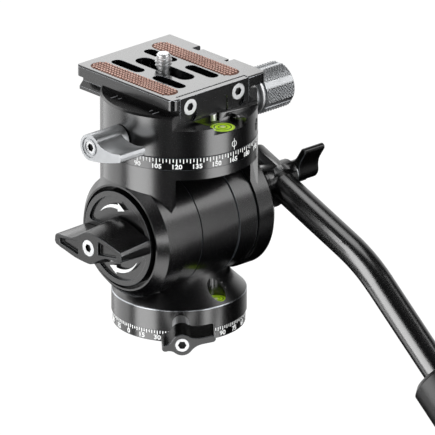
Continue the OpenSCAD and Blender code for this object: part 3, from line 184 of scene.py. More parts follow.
# Each finish: its material's name, dark and light tone, the size of its grain in mm, its least and most
# roughness, the depth of its relief in mm, the shader's other inputs, and a stretch of the grain.
FINISHES = {
    # Anodised aluminium, bead blasted before dyeing: black, with a soft sheen and very fine grain.
    # Real grit is near 0.05 mm; it is drawn at 0.16 mm so that it still shows.
    "anodised_black": (
        "aluminium_black_anodised_blasted", "#010102", "#030304", 0.16, (0.22, 0.28), 0.005,
        {DENSE: 1.7, SHINE: 0.75}),
    # The same dye over turned aluminium: rings of the lathe tool run round the pan axis.
    "anodised_turned": (
        "aluminium_black_anodised_turned", "#010102", "#030303", 0.12, (0.19, 0.24), 0.003,
        {DENSE: 1.7, SHINE: 0.6}, (0.12, 0.12, 1.6)),
    # The plate's flat top is milled, then blasted: it mirrors the studio as light grey.
    "anodised_plate": (
        "aluminium_black_anodised_milled", "#030304", "#060708", 0.2, (0.18, 0.24), 0.003,
        {DENSE: 1.7, SHINE: 0.6}),
    # Bevelled edges of anodised parts take a lighter grey: partly dye worn thin where a tool broke the
    # edge, partly a painted highlight along the edge.
    "anodised_edge": (
        "aluminium_black_anodised_edge", "#303438", "#43484d", 0.3, (0.24, 0.34), 0.004, {SHINE: 0.5}),
    # The plate's rims are cut after dyeing with a diamond tool: bare bright metal.
    "cut_edge": ("aluminium_diamond_cut_edge", "#a9adb2", "#c2c5c9", 0.3, (0.2, 0.3), 0.003, METAL),
    # Powder coat on cast levers: slightly orange-peeled satin black.
    "powder_black": (
        "zinc_cast_powder_coated_black", "#020202", "#050505", 0.5, (0.19, 0.25), 0.004, {SHINE: 0.9}),
    # The cast levers' bevelled edges take a smoother, lighter grey: a painted highlight along the edges.
    "powder_painted_edge_highlight": (
        "zinc_cast_powder_thin_edge", "#26282a", "#34373a", 0.5, (0.18, 0.24), 0.003, {SHINE: 0.9}),
    # Bead-blasted bare aluminium: pale, even and soft.
    "silver_blasted": (
        "aluminium_bead_blasted_clear_anodised", "#b4b6b8", "#c6c8ca", 0.18, (0.32, 0.4), 0.006, METAL),
    # Machined stainless screws: brighter, with turning marks.
    "steel_turned": ("stainless_steel_turned", "#d2d3d4", "#e4e5e6", 0.14, (0.36, 0.48), 0.003, METAL),
    # Ground carbon steel inside the mechanism, with a thin film of oil.
    "steel_ground": ("carbon_steel_ground_oiled", "#6f7276", "#85888c", 0.2, (0.22, 0.36), 0.004, METAL),
    # Sintered bronze: warm, open-pored and dull.
    "bronze": ("bronze_sintered", "#7d6238", "#93764a", 0.25, (0.42, 0.58), 0.01, METAL),
    # Copper-brown natural rubber for the pads: matte, with darker dust in it. Its brown is set dark:
    # painted shade in the gaps between the studs.
    "pad_rubber": (
        "rubber_moulded_copper_brown", "#6b4638", "#7b5343", 0.4, (0.55, 0.72), 0.02, {SHINE: 0.3}),
    # The pads' studs are a pale pink: a painted highlight for the light on their tops.
    "stud_rubber_painted_highlight": (
        "rubber_moulded_copper_worn", "#d0a597", "#e6c2b5", 0.5, (0.5, 0.66), 0.01, {SHINE: 0.35}),
    # Hexagon sockets are set near black: painted shade inside the recess.
    "socket_dark": (
        "steel_broached_socket_dark", "#0a0a0b", "#141516", 0.3, (0.45, 0.6), 0.004, {SHINE: 0.2}),
    # Friction lining: pressed fibre.
    "lining": ("friction_fibre_pressed", "#3a2c20", "#4d3c2c", 0.3, (0.7, 0.85), 0.03),
    # Nylon cap: moulded black, faintly pebbled.
    "plastic_black": ("nylon_moulded_black", "#0d0d0e", "#141415", 0.35, (0.42, 0.55), 0.01),
    # Rotor and cap inside the mechanism: acetal, which slides well.
    "plastic_grey": ("acetal_moulded_grey", "#2b2c2e", "#353638", 0.35, (0.4, 0.5), 0.01),
    # Stove-enamelled tube: deep gloss black.
    "tube_enamel": (
        "aluminium_tube_gloss_enamel_black", "#020203", "#040405", 0.9, (0.23, 0.26), 0.001,
        {DENSE: 1.8, SHINE: 0.9}),
    # The grip is a smooth moulded sleeve that takes nearly the sheen of the tube it sits on.
    "sleeve": (
        "rubber_sleeve_smooth_black", "#060606", "#0b0b0b", 0.5, (0.3, 0.38), 0.006, {SHINE: 0.6}),
    # Screen-printed marks: flat white ink, a touch worn.
    "white_ink": ("ink_screen_printed_white", "#e4e6e6", "#f3f4f3", 0.3, (0.5, 0.62), 0.002),
    # Laser marks on the dye: grey and dull, a little uneven along each line.
    "grey_mark": ("anodised_laser_mark_grey", "#8d8f92", "#aeb0b3", 0.3, (0.5, 0.62), 0.002),
    # Printed rings in the levels.
    "vial_mark": ("ink_printed_dark_green", "#1c3a10", "#2b5217", 0.4, (0.3, 0.4), 0.002),
    # A bubble of air in the liquid: nearly clear, pale where the light meets its rim.
    "bubble": ("air_bubble_pale", "#e3f3a6", "#f2fbc8", 0.5, (0.05, 0.1), 0.001, {COAT: 0.4}),
    # The level's housing is cast from the same lime acrylic, a little paler.
    "vial_rim": (
        "acrylic_level_lime_rim", "#b6dc3c", "#cdec62", 0.6, (0.1, 0.18), 0.002, {COAT: 0.5}),
}


def hex_linear(text):
    """sRGB hex colour to linear red, green, blue and alpha."""
    values = [int(text[i:i + 2], 16) / 255.0 for i in (1, 3, 5)]
    return tuple(v / 12.92 if v <= 0.04045 else ((v + 0.055) / 1.055) ** 2.4 for v in values) + (1.0,)


def add(tree, kind, links=(), **settings):
    """Adds a node, sets its sockets (s_ and a name) or properties, and links sources to its sockets."""
    node = tree.nodes.new(kind)
    for key, value in settings.items():
        if key.startswith("s_"):
            name = key[2:]
            wanted = int(name) if name.isdigit() else name.replace("_", " ")
            node.inputs[wanted].default_value = value
        else:
            setattr(node, key, value)
    for source, target in links:
        tree.links.new(source, node.inputs[target])
    return node


def calc(tree, operation, *values):
    """A math node on plain numbers and on other nodes' outputs."""
    node = add(tree, "ShaderNodeMath", operation=operation)
    for i, value in enumerate(values):
        if isinstance(value, (int, float)):
            node.inputs[i].default_value = value
        else:
            tree.links.new(value, node.inputs[i])
    return node.outputs[0]


def new_material(name):
    """A new material with one shader: its tree, the shader, the object's coordinates and its output."""
    material = bpy.data.materials.new(name)
    material.use_nodes = True
    tree = material.node_tree
    tree.nodes.clear()
    shader = add(tree, "ShaderNodeBsdfPrincipled")
    out = add(tree, "ShaderNodeOutputMaterial", links=[(shader.outputs[0], "Surface")])
    coords = add(tree, "ShaderNodeTexCoord").outputs["Object"]
    return material, tree, shader, coords, out


def grain(tree, coords, size_mm, detail, stretch=None):
    """Noise whose spots are size_mm across; stretch scales it along each axis."""
    if stretch:
        coords = add(tree, "ShaderNodeMapping", links=[(coords, "Vector")], s_Scale=stretch).outputs[0]
    noise = add(tree, "ShaderNodeTexNoise", links=[(coords, "Vector")],
                s_Scale=1.0 / (size_mm * MM), s_Detail=detail)
    return noise.outputs["Fac"]


def between(tree, value, low, high):
    """Spreads the middle half of a 0 to 1 pattern over the range low to high."""
    node = add(tree, "ShaderNodeMapRange", links=[(value, "Value")],
               s_From_Min=0.25, s_From_Max=0.75, s_To_Min=low, s_To_Max=high)
    return node.outputs[0]


def tint_between(tree, value, dark, light):
    """Turns a 0 to 1 pattern into a colour that drifts from dark to light."""
    ramp = add(tree, "ShaderNodeValToRGB", links=[(value, "Fac")])
    for stop, position, tone in zip(ramp.color_ramp.elements, (0.3, 0.7), (dark, light)):
        stop.position = position
        stop.color = hex_linear(tone)
    return ramp.outputs[0]


def bump(tree, shader, height, depth_mm):
    """Fine relief of a depth in mm."""
    node = add(tree, "ShaderNodeBump", links=[(height, "Height")],
               s_Strength=RELIEF_STRENGTH, s_Distance=depth_mm * MM)
    tree.links.new(node.outputs[0], shader.inputs["Normal"])


def finish_of(name, dark, light, grain_mm, rough, depth_mm, inputs=None, stretch=None):
    """One solid finish: a colour that drifts, a roughness that drifts and a fine relief."""
    material, tree, shader, coords, out = new_material(name)
    wide = grain(tree, coords, COLOUR_DRIFT_MM, detail=2.0)
    fine = grain(tree, coords, grain_mm, detail=4.0, stretch=stretch)
    tree.links.new(tint_between(tree, wide, dark, light), shader.inputs["Base Color"])
    tree.links.new(between(tree, fine, rough[0], rough[1]), shader.inputs["Roughness"])
    bump(tree, shader, fine, depth_mm)
    for key, value in (inputs or {}).items():
        shader.inputs[key].default_value = value
    return material


def vial_material():
    """Level liquid: lime green spirit under a clear coat, with a faint emission that is painted glow."""
    material, tree, shader, coords, out = new_material("acrylic_level_lime_liquid")
    drift = grain(tree, coords, 2.5, detail=2.0)
    tree.links.new(tint_between(tree, drift, "#a9d81c", "#d2f04a"), shader.inputs["Base Color"])
    tree.links.new(between(tree, drift, 0.08, 0.16), shader.inputs["Roughness"])
    # Painted glow: a faint emission brightens the liquid.
    shader.inputs["Emission Color"].default_value = hex_linear("#b8e62a")
    shader.inputs["Emission Strength"].default_value = 0.3
    shader.inputs[COAT].default_value = 0.6
    return material


def make_materials():
    """Every finish, by its short name."""
    made = {name: finish_of(*row) for name, row in FINISHES.items()}
    made["vial_liquid"] = vial_material()
    return made


# White set

# The floor's height and half its width, in m.
FLOOR_Z = -0.5
FLOOR_REACH = 3.0
# The way from the operator's camera to the backdrop, level with the floor.
BACKDROP_WAY = (0.676, 0.737, 0.0)
# A gloss sees the backdrop from the first value on, and all its share of it at the second:
# the cosine to that way for the world, and the distance along it in m for the floor.
WORLD_FADE = (0.55, 0.95)
FLOOR_FADE = (0.7, 1.5)
GLOSS_SHARE = 0.9
# What a matte surface sees of the world.
MATTE_SHARE = 0.2
# The part of the paper that the eye sees as plain white, and how bright that is.
PAPER_SHARE = 0.86
PAPER_GLOW = 1.15
WHITE = (1.0, 1.0, 1.0, 1.0)


def white_share(tree, coords, fade):
    """How much of the white set a ray sees, and the ray's own kind.

    The eye and a look through glass see all of it. A gloss sees the white backdrop behind the
    object, and towards the operator the dark room that the photograph's black cores come from.
    """
    path = add(tree, "ShaderNodeLightPath")
    clear = calc(tree, "MAXIMUM", path.outputs["Is Camera Ray"], path.outputs["Is Transmission Ray"])
    behind = add(tree, "ShaderNodeVectorMath", operation="DOT_PRODUCT",
                 links=[(coords, 0)], s_1=BACKDROP_WAY)
    backdrop = add(tree, "ShaderNodeMapRange", interpolation_type="SMOOTHSTEP",
                   links=[(behind.outputs["Value"], "Value")], s_From_Min=fade[0], s_From_Max=fade[1],
                   s_To_Min=0.0, s_To_Max=GLOSS_SHARE)
    in_gloss = calc(tree, "MULTIPLY", path.outputs["Is Glossy Ray"], backdrop.outputs[0])
    return calc(tree, "MAXIMUM", clear, in_gloss), path


def white_world():
    """White all round to the eye; a matte surface takes a little light from it."""
    world = bpy.data.worlds.new("studio_world")
    bpy.context.scene.world = world
    world.use_nodes = True
    tree = world.node_tree
    tree.nodes.clear()
    coords = add(tree, "ShaderNodeTexCoord").outputs["Generated"]
    seen, path = white_share(tree, coords, WORLD_FADE)
    in_matte = calc(tree, "MULTIPLY", path.outputs["Is Diffuse Ray"], MATTE_SHARE)
    strength = calc(tree, "MAXIMUM", seen, in_matte)
    light = add(tree, "ShaderNodeBackground", s_Color=WHITE, links=[(strength, "Strength")])
    add(tree, "ShaderNodeOutputWorld", links=[(light.outputs[0], "Surface")])


def white_floor():
    """A sheet of white paper far under the part, which stands free as in the photograph."""
    mesh = bpy.data.meshes.new("floor")
    corners = [(x * FLOOR_REACH, y * FLOOR_REACH, FLOOR_Z) for x, y in ((-1, -1), (1, -1), (1, 1), (-1, 1))]
    mesh.from_pydata(corners, [], [(0, 1, 2, 3)])
    floor = linked("floor", mesh)
    material, tree, shader, coords, out = new_material("paper_floor_white")
    shader.inputs["Base Color"].default_value = hex_linear("#f4f4f4")
    shader.inputs["Roughness"].default_value = 0.9
    seen, path = white_share(tree, coords, FLOOR_FADE)
    # To the eye the paper is mostly plain white, with some of its own light and shadow.
    plain = calc(tree, "MULTIPLY", seen, PAPER_SHARE)
    glow = add(tree, "ShaderNodeEmission", s_Color=WHITE, s_Strength=PAPER_GLOW)
    lit = add(tree, "ShaderNodeMixShader",
              links=[(plain, 0), (shader.outputs[0], 1), (glow.outputs[0], 2)])
    dim = add(tree, "ShaderNodeEmission", s_Color=WHITE, links=[(seen, "Strength")])
    mixed = add(tree, "ShaderNodeMixShader",
                links=[(path.outputs["Is Glossy Ray"], 0), (lit.outputs[0], 1), (dim.outputs[0], 2)])
    tree.links.new(mixed.outputs[0], out.inputs["Surface"])
    mesh.materials.append(material)


# Helpers for pieces

# Points nearer than this, in m, are one: in a CAD mesh, and in a mesh made here.
CAD_MERGE = 1e-6
MERGE = 1e-7
# Angles in degrees: faces that count as one flat face, and edges that count as sharp.
FLAT_ANGLE = 0.4
SHARP_ANGLE = 30.0
BEVEL_STEPS = 2
# What tells that a face lies on a turned form. Lengths are in m, the rest are parts of 1.
AXIS_REACH = 1e-5
MOST_TWIST = 0.03
LEAST_OUTWARD = 0.2
SAME_FORM = 4e-5
SAME_WAY = 0.985


def named(node):
    """The frame's own object for a node of the CAD."""
    return frame["nodes"][node]


def body_of(node):
    """The body that a node rides on."""
    return named(node)["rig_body"]


def lathe_normals(mesh, face, origin, along):
    """Exact normals at a face's corners if the face lies on a lathe form round that axis."""
    middle = face.center - origin
    radial = middle - along * middle.dot(along)
    if radial.length < AXIS_REACH:
        return None
    radial.normalize()
    if abs(face.normal.dot(along.cross(radial))) > MOST_TWIST:
        return None
    rise, out = face.normal.dot(along), face.normal.dot(radial)
    if abs(out) < LEAST_OUTWARD:
        return None
    first = None
    normals = []
    for index in face.vertices:
        point = mesh.vertices[index].co - origin
        height = point.dot(along)
        spoke = point - along * height
        base = spoke.length + height * rise / out
        first = base if first is None else first
        normal = along * rise + spoke.normalized() * out
        if abs(base - first) > SAME_FORM or normal.dot(face.normal) < SAME_WAY:
            return None
        normals.append(normal)
    return normals


def round_shading(piece, axes):
    """Round faces take the exact normals of their axis, so that slim triangles don't show."""
    mesh = piece.data
    normals = [Vector(corner.vector) for corner in mesh.corner_normals]
    for face in mesh.polygons:
        for origin, along in axes:
            exact = lathe_normals(mesh, face, origin, along)
            if exact:
                for corner, normal in zip(face.loop_indices, exact):
                    normals[corner] = normal
                break
    mesh.normals_split_custom_set(normals)


def finished(node, material, bevel_mm, edge, axes=(), reshape=None):
    """A merged, smoothed copy of a CAD node; sharp edges stay, small ones catch light."""
    source = named(node)
    mesh = source.data.copy()
    mesh.transform(source.matrix_world)
    work = bmesh.new()
    work.from_mesh(mesh)
    bmesh.ops.remove_doubles(work, verts=work.verts, dist=CAD_MERGE)
    bmesh.ops.dissolve_limit(work, angle_limit=math.radians(FLAT_ANGLE), verts=work.verts, edges=work.edges)
    bmesh.ops.recalc_face_normals(work, faces=work.faces)
    if reshape:
        reshape(work)
    work.to_mesh(mesh)
    work.free()
    mesh.materials.clear()
    mesh.materials.append(material)
    mesh.materials.append(edge)
    piece = smooth(linked("look_" + node, mesh))
    if bevel_mm:
        soft = piece.modifiers.new("soft_edges", "BEVEL")
        soft.width = bevel_mm * MM
        soft.segments = BEVEL_STEPS
        soft.limit_method = "ANGLE"
        soft.angle_limit = math.radians(SHARP_ANGLE)
        soft.use_clamp_overlap = True
        # The bevel's faces take the edge finish; on black parts its lighter grey is a painted highlight.
        soft.material = 1
    even = piece.modifiers.new("even_shading", "WEIGHTED_NORMAL")
    even.mode = "FACE_AREA"
    even.weight = 100
    even.keep_sharp = True
    data = plain_mesh(piece)
    piece.modifiers.clear()
    piece.data = data
    if axes:
        round_shading(piece, axes)
    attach(piece, body_of(node))
    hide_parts(node)
    return piece


def place(name, mesh, material, body):
    """Links a detail, a mesh or a bmesh, as a piece that rides on a body."""
    if not isinstance(mesh, bpy.types.Mesh):
        data = bpy.data.meshes.new(name)
        bmesh.ops.recalc_face_normals(mesh, faces=mesh.faces)
        mesh.to_mesh(data)
        mesh.free()
        mesh = data
    mesh.materials.clear()
    mesh.materials.append(material)
    piece = linked(name, mesh)
    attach(piece, body)
    return piece


def close_rings(work, rings, looped):
    """Joins rings of points, each to the next, by quads; looped also joins the last to the first."""
    pairs = list(zip(rings, rings[1:]))
    if looped:
        pairs.append((rings[-1], rings[0]))
    for one, two in pairs:
        for j in range(len(one)):
            k = (j + 1) % len(one)
            work.faces.new((one[j], one[k], two[k], two[j]))


def lathe(profile, steps, centre=(0.0, 0.0)):
    """Turns a closed (radius, height) outline in mm round an upright axis through a centre."""
    work = bmesh.new()
    rings = []
    for i in range(steps):
        angle = 2 * math.pi * i / steps
        ring = []
        for radius, height in profile:
            x, y = polar(radius, angle)
            ring.append(work.verts.new(((x + centre[0]) * MM, (y + centre[1]) * MM, height * MM)))
        rings.append(ring)
    close_rings(work, rings, looped=True)
    bmesh.ops.remove_doubles(work, verts=work.verts, dist=MERGE)
    bmesh.ops.dissolve_degenerate(work, dist=MERGE, edges=work.edges)
    return work


def slab(outline, low, high, to_space):
    """A closed thin solid from a flat outline in mm; to_space maps (u, v, height) to x, y, z."""
    work = bmesh.new()
    bottom = [work.verts.new([c * MM for c in to_space(u, v, low)]) for u, v in outline]
    top = [work.verts.new([c * MM for c in to_space(u, v, high)]) for u, v in outline]
    work.faces.new(bottom)
    work.faces.new(list(reversed(top)))
    count = len(outline)
    for i in range(count):
        j = (i + 1) % count
        work.faces.new((bottom[i], top[i], top[j], bottom[j]))
    return work


def join_meshes(parts):
    """Joins bmesh parts into one."""
    whole = bmesh.new()
    for part in parts:
        data = bpy.data.meshes.new("join")
        part.to_mesh(data)
        part.free()
        whole.from_mesh(data)
        bpy.data.meshes.remove(data)
    return whole


def smooth(piece, angle=SHARP_ANGLE):
    """Smooth shading up to an angle in degrees."""
    piece.data.shade_smooth()
    piece.data.set_sharp_from_angle(angle=math.radians(angle))
    return piece


def plain_mesh(holder):
    """A new mesh of what an object's modifiers or text come to."""
    bpy.context.view_layer.update()
    graph = bpy.context.evaluated_depsgraph_get()
    return bpy.data.meshes.new_from_object(holder.evaluated_get(graph))


# Tools for printed scales

# How far printed marks reach into the wall and out of it, in mm.
INK_IN = 0.02
INK_OUT = 0.05
TICK_THICK = 0.08
TICK_W = 0.36
# Font size and boldness for a digit of height 1, and the digits' extra width.
DIGIT_SIZE = 1.38
DIGIT_BOLD = 0.034
DIGIT_STRETCH = 1.14
DIGIT_CURVE_STEPS = 3


def node_group(name, wanted):
    """A new Geometry Nodes tree with these inputs; gives the tree, its inputs and its last node."""
    tree = bpy.data.node_groups.new(name, "GeometryNodeTree")
    face = tree.interface
    face.new_socket("Geometry", in_out="INPUT", socket_type="NodeSocketGeometry")
    for key, value in wanted.items():
        kind = "NodeSocketInt" if isinstance(value, int) else "NodeSocketFloat"
        face.new_socket(key, in_out="INPUT", socket_type=kind).default_value = value
    face.new_socket("Geometry", in_out="OUTPUT", socket_type="NodeSocketGeometry")
    return tree, add(tree, "NodeGroupInput").outputs, add(tree, "NodeGroupOutput")


def spread_copies(tree, outs, material, points, shape, turn, size=()):
    """Ends a tree: a turned copy of a shape on every point, as one real mesh with a material."""
    links = [(points, "Points"), (shape.outputs["Mesh"], "Instance"), (turn.outputs[0], "Rotation")]
    spread = add(tree, "GeometryNodeInstanceOnPoints", links=links + list(size))
    real = add(tree, "GeometryNodeRealizeInstances", links=[(spread.outputs[0], "Geometry")])
    coat = add(tree, "GeometryNodeSetMaterial", links=[(real.outputs[0], "Geometry")], s_Material=material)
    tree.links.new(coat.outputs[0], outs.inputs[0])


def tick_tree(material):
    """Geometry Nodes: ticks spread round a circle, in three lengths, each turned to face outwards."""
    tree, ins, outs = node_group("scale_ticks", {
        "Count": 144, "Radius": 0.0, "Top": 0.0, "Width": TICK_W * MM, "Thickness": TICK_THICK * MM,
        "Long": 2.2 * MM, "Medium": 1.7 * MM, "Short": 1.25 * MM, "Turn": 0.0})

    def sums(operation, *values):
        return calc(tree, operation, *values)

    index = add(tree, "GeometryNodeInputIndex").outputs[0]
    points = add(tree, "GeometryNodeMeshLine", links=[(ins["Count"], "Count")])
    step = sums("DIVIDE", 2 * math.pi, ins["Count"])
    angle = sums("ADD", sums("MULTIPLY", index, step), ins["Turn"])
    # Every sixth tick is long (15 degrees), every second is medium (5 degrees).
    sixth = sums("LESS_THAN", sums("MODULO", index, 6.0), 0.5)
    second = sums("LESS_THAN", sums("MODULO", index, 2.0), 0.5)
    medium_more = sums("SUBTRACT", ins["Medium"], ins["Short"])
    long_more = sums("SUBTRACT", ins["Long"], ins["Medium"])
    length = sums("ADD", ins["Short"], sums("MULTIPLY", second, medium_more))
    length = sums("ADD", length, sums("MULTIPLY", sixth, long_more))
    middle = sums("SUBTRACT", ins["Top"], sums("MULTIPLY", length, 0.5))
    x = sums("MULTIPLY", sums("COSINE", angle), ins["Radius"])
    y = sums("MULTIPLY", sums("SINE", angle), ins["Radius"])
    spot = add(tree, "ShaderNodeCombineXYZ", links=[(x, 0), (y, 1), (middle, 2)])
    moved = add(tree, "GeometryNodeSetPosition",
                links=[(points.outputs[0], "Geometry"), (spot.outputs[0], "Position")])
    block = add(tree, "GeometryNodeMeshCube", s_Size=(1.0, 1.0, 1.0))
    turn = add(tree, "ShaderNodeCombineXYZ", links=[(angle, 2)])
    size = add(tree, "ShaderNodeCombineXYZ", links=[(ins["Thickness"], 0), (ins["Width"], 1), (length, 2)])
    spread_copies(tree, outs, material, moved.outputs[0], block, turn, [(size.outputs[0], "Scale")])
    return tree


def run_tree(name, mesh, tree, body, material, **values):
    """Runs a Geometry Nodes tree on a mesh, with its own inputs, and keeps a plain mesh."""
    holder = linked(name + "_nodes", mesh)
    change = holder.modifiers.new("repeats", "NODES")
    change.node_group = tree
    for item in tree.interface.items_tree:
        if item.item_type == "SOCKET" and item.in_out == "INPUT" and item.name in values:
            change[item.identifier] = values[item.name]
    mesh = plain_mesh(holder)
    bpy.data.objects.remove(holder)
    place(name, mesh, material, body)


def number_mesh(text, height_mm):
    """Digits as a flat mesh in mm, centred on zero, bold by a small offset."""
    curve = bpy.data.curves.new("digits", "FONT")
    curve.body = text
    curve.align_x = "CENTER"
    curve.align_y = "CENTER"
    curve.size = height_mm * DIGIT_SIZE
    curve.offset = height_mm * DIGIT_BOLD
    curve.extrude = INK_OUT
    curve.resolution_u = DIGIT_CURVE_STEPS
    holder = linked("digits", curve)
    mesh = plain_mesh(holder)
    bpy.data.objects.remove(holder)
    for vertex in mesh.vertices:
        vertex.co.x *= DIGIT_STRETCH
    return mesh


def numbers_on_ring(name, labels, radius, level, height_mm, body, material):
    """Digits wrapped on an upright ring; labels is a list of (angle in degrees, text)."""
    whole = bmesh.new()
    for angle, text in labels:
        mesh = number_mesh(text, height_mm)
        for vertex in mesh.vertices:
            across, up, out = vertex.co
            x, y = polar(radius + out, math.radians(angle) + across / radius)
            vertex.co = (x * MM, y * MM, (level + up) * MM)
        whole.from_mesh(mesh)
        bpy.data.meshes.remove(mesh)
    bmesh.ops.remove_doubles(whole, verts=whole.verts, dist=MERGE)
    place(name, whole, material, body)


# Finished CAD nodes

# An axis is a point on it, in m, and its way.
Z_AXIS = (Vector((0.0, 0.0, 0.0)), Vector((0.0, 0.0, 1.0)))
TILT_AXIS = (Vector((0.0, 0.0, TILT_Z * MM)), Vector((1.0, 0.0, 0.0)))
KNOB_AXIS = (Vector((0.0, CLAMP_SCREW[0], CLAMP_SCREW[1])) * MM, Vector((1.0, 0.0, 0.0)))


def upright_axis(node):
    """The upright axis through the middle of a round node, such as a level."""
    low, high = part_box(node)
    return Vector(((low[0] + high[0]) / 2, (low[1] + high[1]) / 2, 0.0)), Vector((0.0, 0.0, 1.0))


BASE_VIAL_AXIS = upright_axis("base_vial")
TOP_VIAL_AXIS = upright_axis("top_vial")

# Nodes that the eye reaches, with the finish and the edge radius (mm) of the real piece.
SHOWN = {
    "base_ring": ("anodised_turned", 0.18), "pan_housing": ("anodised_black", 0.0),
    "left_cover": ("anodised_black", 0.15), "right_cover": ("anodised_black", 0.15),
    "pan_collar": ("steel_turned", 0.15), "pan_lever": ("powder_black", 0.35),
    "pan_stud": ("steel_turned", 0.0), "yoke": ("anodised_black", 0.0),
    "pan_scale": ("anodised_turned", 0.12), "pan_drum": ("anodised_black", 0.0),
    "tilt_dial": ("anodised_black", 0.2), "tilt_lever": ("powder_black", 0.45),
    "tilt_lever_screw": ("steel_turned", 0.1), "top_lever": ("silver_blasted", 0.3),
    "top_stud": ("steel_turned", 0.0), "jaw": ("anodised_black", 0.0),
    "jaw_pin_front": ("steel_turned", 0.0), "jaw_pin_back": ("steel_turned", 0.0),
    "knob": ("silver_blasted", 0.2), "knob_ring": ("steel_turned", 0.1),
    "clamp_screw": ("steel_turned", 0.0), "quick_plate": ("anodised_plate", 0.22),
    "stop_bar": ("anodised_plate", 0.2), "bar_screw_left": ("steel_turned", 0.08),
    "bar_screw_right": ("steel_turned", 0.08), "stop_pin": ("steel_turned", 0.15),
    "screw_washer": ("steel_ground", 0.05), "camera_screw": ("steel_turned", 0.08),
    "vial_ring": ("vial_rim", 0.0), "holder": ("anodised_black", 0.0),
    "rosette_base": ("powder_black", 0.0), "handle_tube": ("tube_enamel", 0.0),
    "grip": ("sleeve", 0.0), "end_cap": ("plastic_black", 0.3),
    "handle_collar": ("silver_blasted", 0.12), "handle_lever": ("powder_black", 0.35),
    "handle_screw": ("steel_turned", 0.08), "handle_bolt": ("steel_ground", 0.0),
    "set_screw": ("steel_ground", 0.0), "pad_left": ("pad_rubber", 0.1), "pad_right": ("pad_rubber", 0.1),
    "top_vial": ("vial_liquid", 0.0), "base_vial": ("vial_liquid", 0.0),
}
# What a bevelled edge of a finish shows: bare cut metal on the plate; on the other black finishes a lighter
# grey that is partly a painted highlight.
EDGES = {
    "anodised_black": "anodised_edge", "anodised_turned": "anodised_edge",
    "anodised_plate": "cut_edge", "powder_black": "powder_painted_edge_highlight",
}
# The axes of the turned forms in each node.
TURNED = {
    "base_ring": [Z_AXIS], "pan_housing": [BASE_VIAL_AXIS, Z_AXIS, TILT_AXIS],
    "left_cover": [TILT_AXIS], "right_cover": [TILT_AXIS], "yoke": [Z_AXIS, TILT_AXIS],
    "pan_scale": [Z_AXIS], "pan_drum": [TOP_VIAL_AXIS, Z_AXIS, KNOB_AXIS], "tilt_dial": [TILT_AXIS],
    "jaw": [Z_AXIS, KNOB_AXIS], "knob": [KNOB_AXIS], "knob_ring": [KNOB_AXIS], "top_vial": [TOP_VIAL_AXIS],
    "base_vial": [BASE_VIAL_AXIS],
}
# Nodes inside the head keep their CAD mesh and only take the right material.
INSIDE = {
    "base_spindle": "steel_ground", "thread_bush": "steel_turned", "pan_retainer": "steel_ground",
    "pan_bolt": "steel_ground", "left_bush": "bronze", "right_bush": "bronze", "pan_shoe": "bronze",
    "tilt_pad": "lining", "tilt_axle": "steel_ground", "tilt_rotor": "plastic_grey",
    "top_axle": "steel_ground", "top_cap": "plastic_grey", "top_bolt": "steel_ground",
    "top_shoe": "bronze", "clamp_clip": "steel_ground",
}
# Screws with a hexagon socket: a point on the axis, in mm, and the way the head faces.
SOCKETS = {
    "tilt_lever_screw": ((0.0, 0.0, TILT_Z), (-1.0, 0.0, 0.0)),
    "top_stud": ((0.0, 0.0, TOP_LOCK_Z), (-1.0, 0.0, 0.0)),
    "pan_stud": ((0.0, 0.0, PAN_LOCK_Z), (*polar(1.0, PAN_LOCK_TURN), 0.0)),
    "bar_screw_left": ((-BAR_SCREW_X, 0.0, BAR_SCREW_Z), (0.0, -1.0, 0.0)),
    "bar_screw_right": ((BAR_SCREW_X, 0.0, BAR_SCREW_Z), (0.0, -1.0, 0.0)),
    "handle_screw": ((0.0, PIVOT[0], PIVOT[1]), (1.0, 0.0, 0.0)),
}


# Height and pitch, in mm, of the studs on the pads and of the knurl on the knob.
PAD_STUD_H = 0.3
PAD_STUD_PITCH = 1.45
KNURL_H = 0.28
KNURL_PITCH = 1.25
# The CAD's hexagon sockets, in mm: depth, and reach of flats and corners. The real key is wider.
SOCKET_DEPTH = 1.1
SOCKET_WALLS = (1.25, 1.75)
SOCKET_GROW = 1.1
# The depths and the reach, in mm, that take the painted shade.
SHADE_DEPTH = (0.2, 1.15)
SHADE_REACH = 1.85
# The thread starts this far above the plate and outside this radius, in mm; its core is thinner.
THREAD_START = 0.15
THREAD_INSIDE = 2.5
CORE_SHARE = 0.79
# What lies nearer than this, in mm, to a pad's top or the knob's rim belongs to it.
TOP_REACH = 0.01
RIM_REACH = 0.05


def along_and_off(point, origin, facing):
    """Height of a point along an axis and its distance from that axis."""
    spoke = point - origin
    height = spoke.dot(facing)
    return height, (spoke - facing * height).length


def wider_socket(place_mm, facing):
    """Opens a hexagon socket to the width that the real key has."""
    origin, facing = Vector(place_mm) * MM, Vector(facing)

    def change(work):
        top = max(along_and_off(vertex.co, origin, facing)[0] for vertex in work.verts)
        for vertex in work.verts:
            height, off = along_and_off(vertex.co, origin, facing)
            if top - height < SOCKET_DEPTH * MM and SOCKET_WALLS[0] * MM < off < SOCKET_WALLS[1] * MM:
                foot = origin + facing * height
                vertex.co = foot + (vertex.co - foot) * SOCKET_GROW
    return change


def thin_core(work):
    """Turns the screw's thread down to its core, on which the ridge is wound later."""
    middle = Vector((0.0, CAMERA_SCREW_Y * MM, 0.0))
    for vertex in work.verts:
        spoke = Vector((vertex.co.x, vertex.co.y, 0.0)) - middle
        if vertex.co.z > (PLATE_TOP + THREAD_START) * MM and spoke.length > THREAD_INSIDE * MM:
            vertex.co.x = middle.x + spoke.x * CORE_SHARE
            vertex.co.y = middle.y + spoke.y * CORE_SHARE


def lower_pad(work):
    """Leaves room for the moulded studs under the pad's real height."""
    top = max(vertex.co.z for vertex in work.verts)
    for vertex in work.verts:
        if vertex.co.z > top - TOP_REACH * MM:
            vertex.co.z = top - PAD_STUD_H * MM


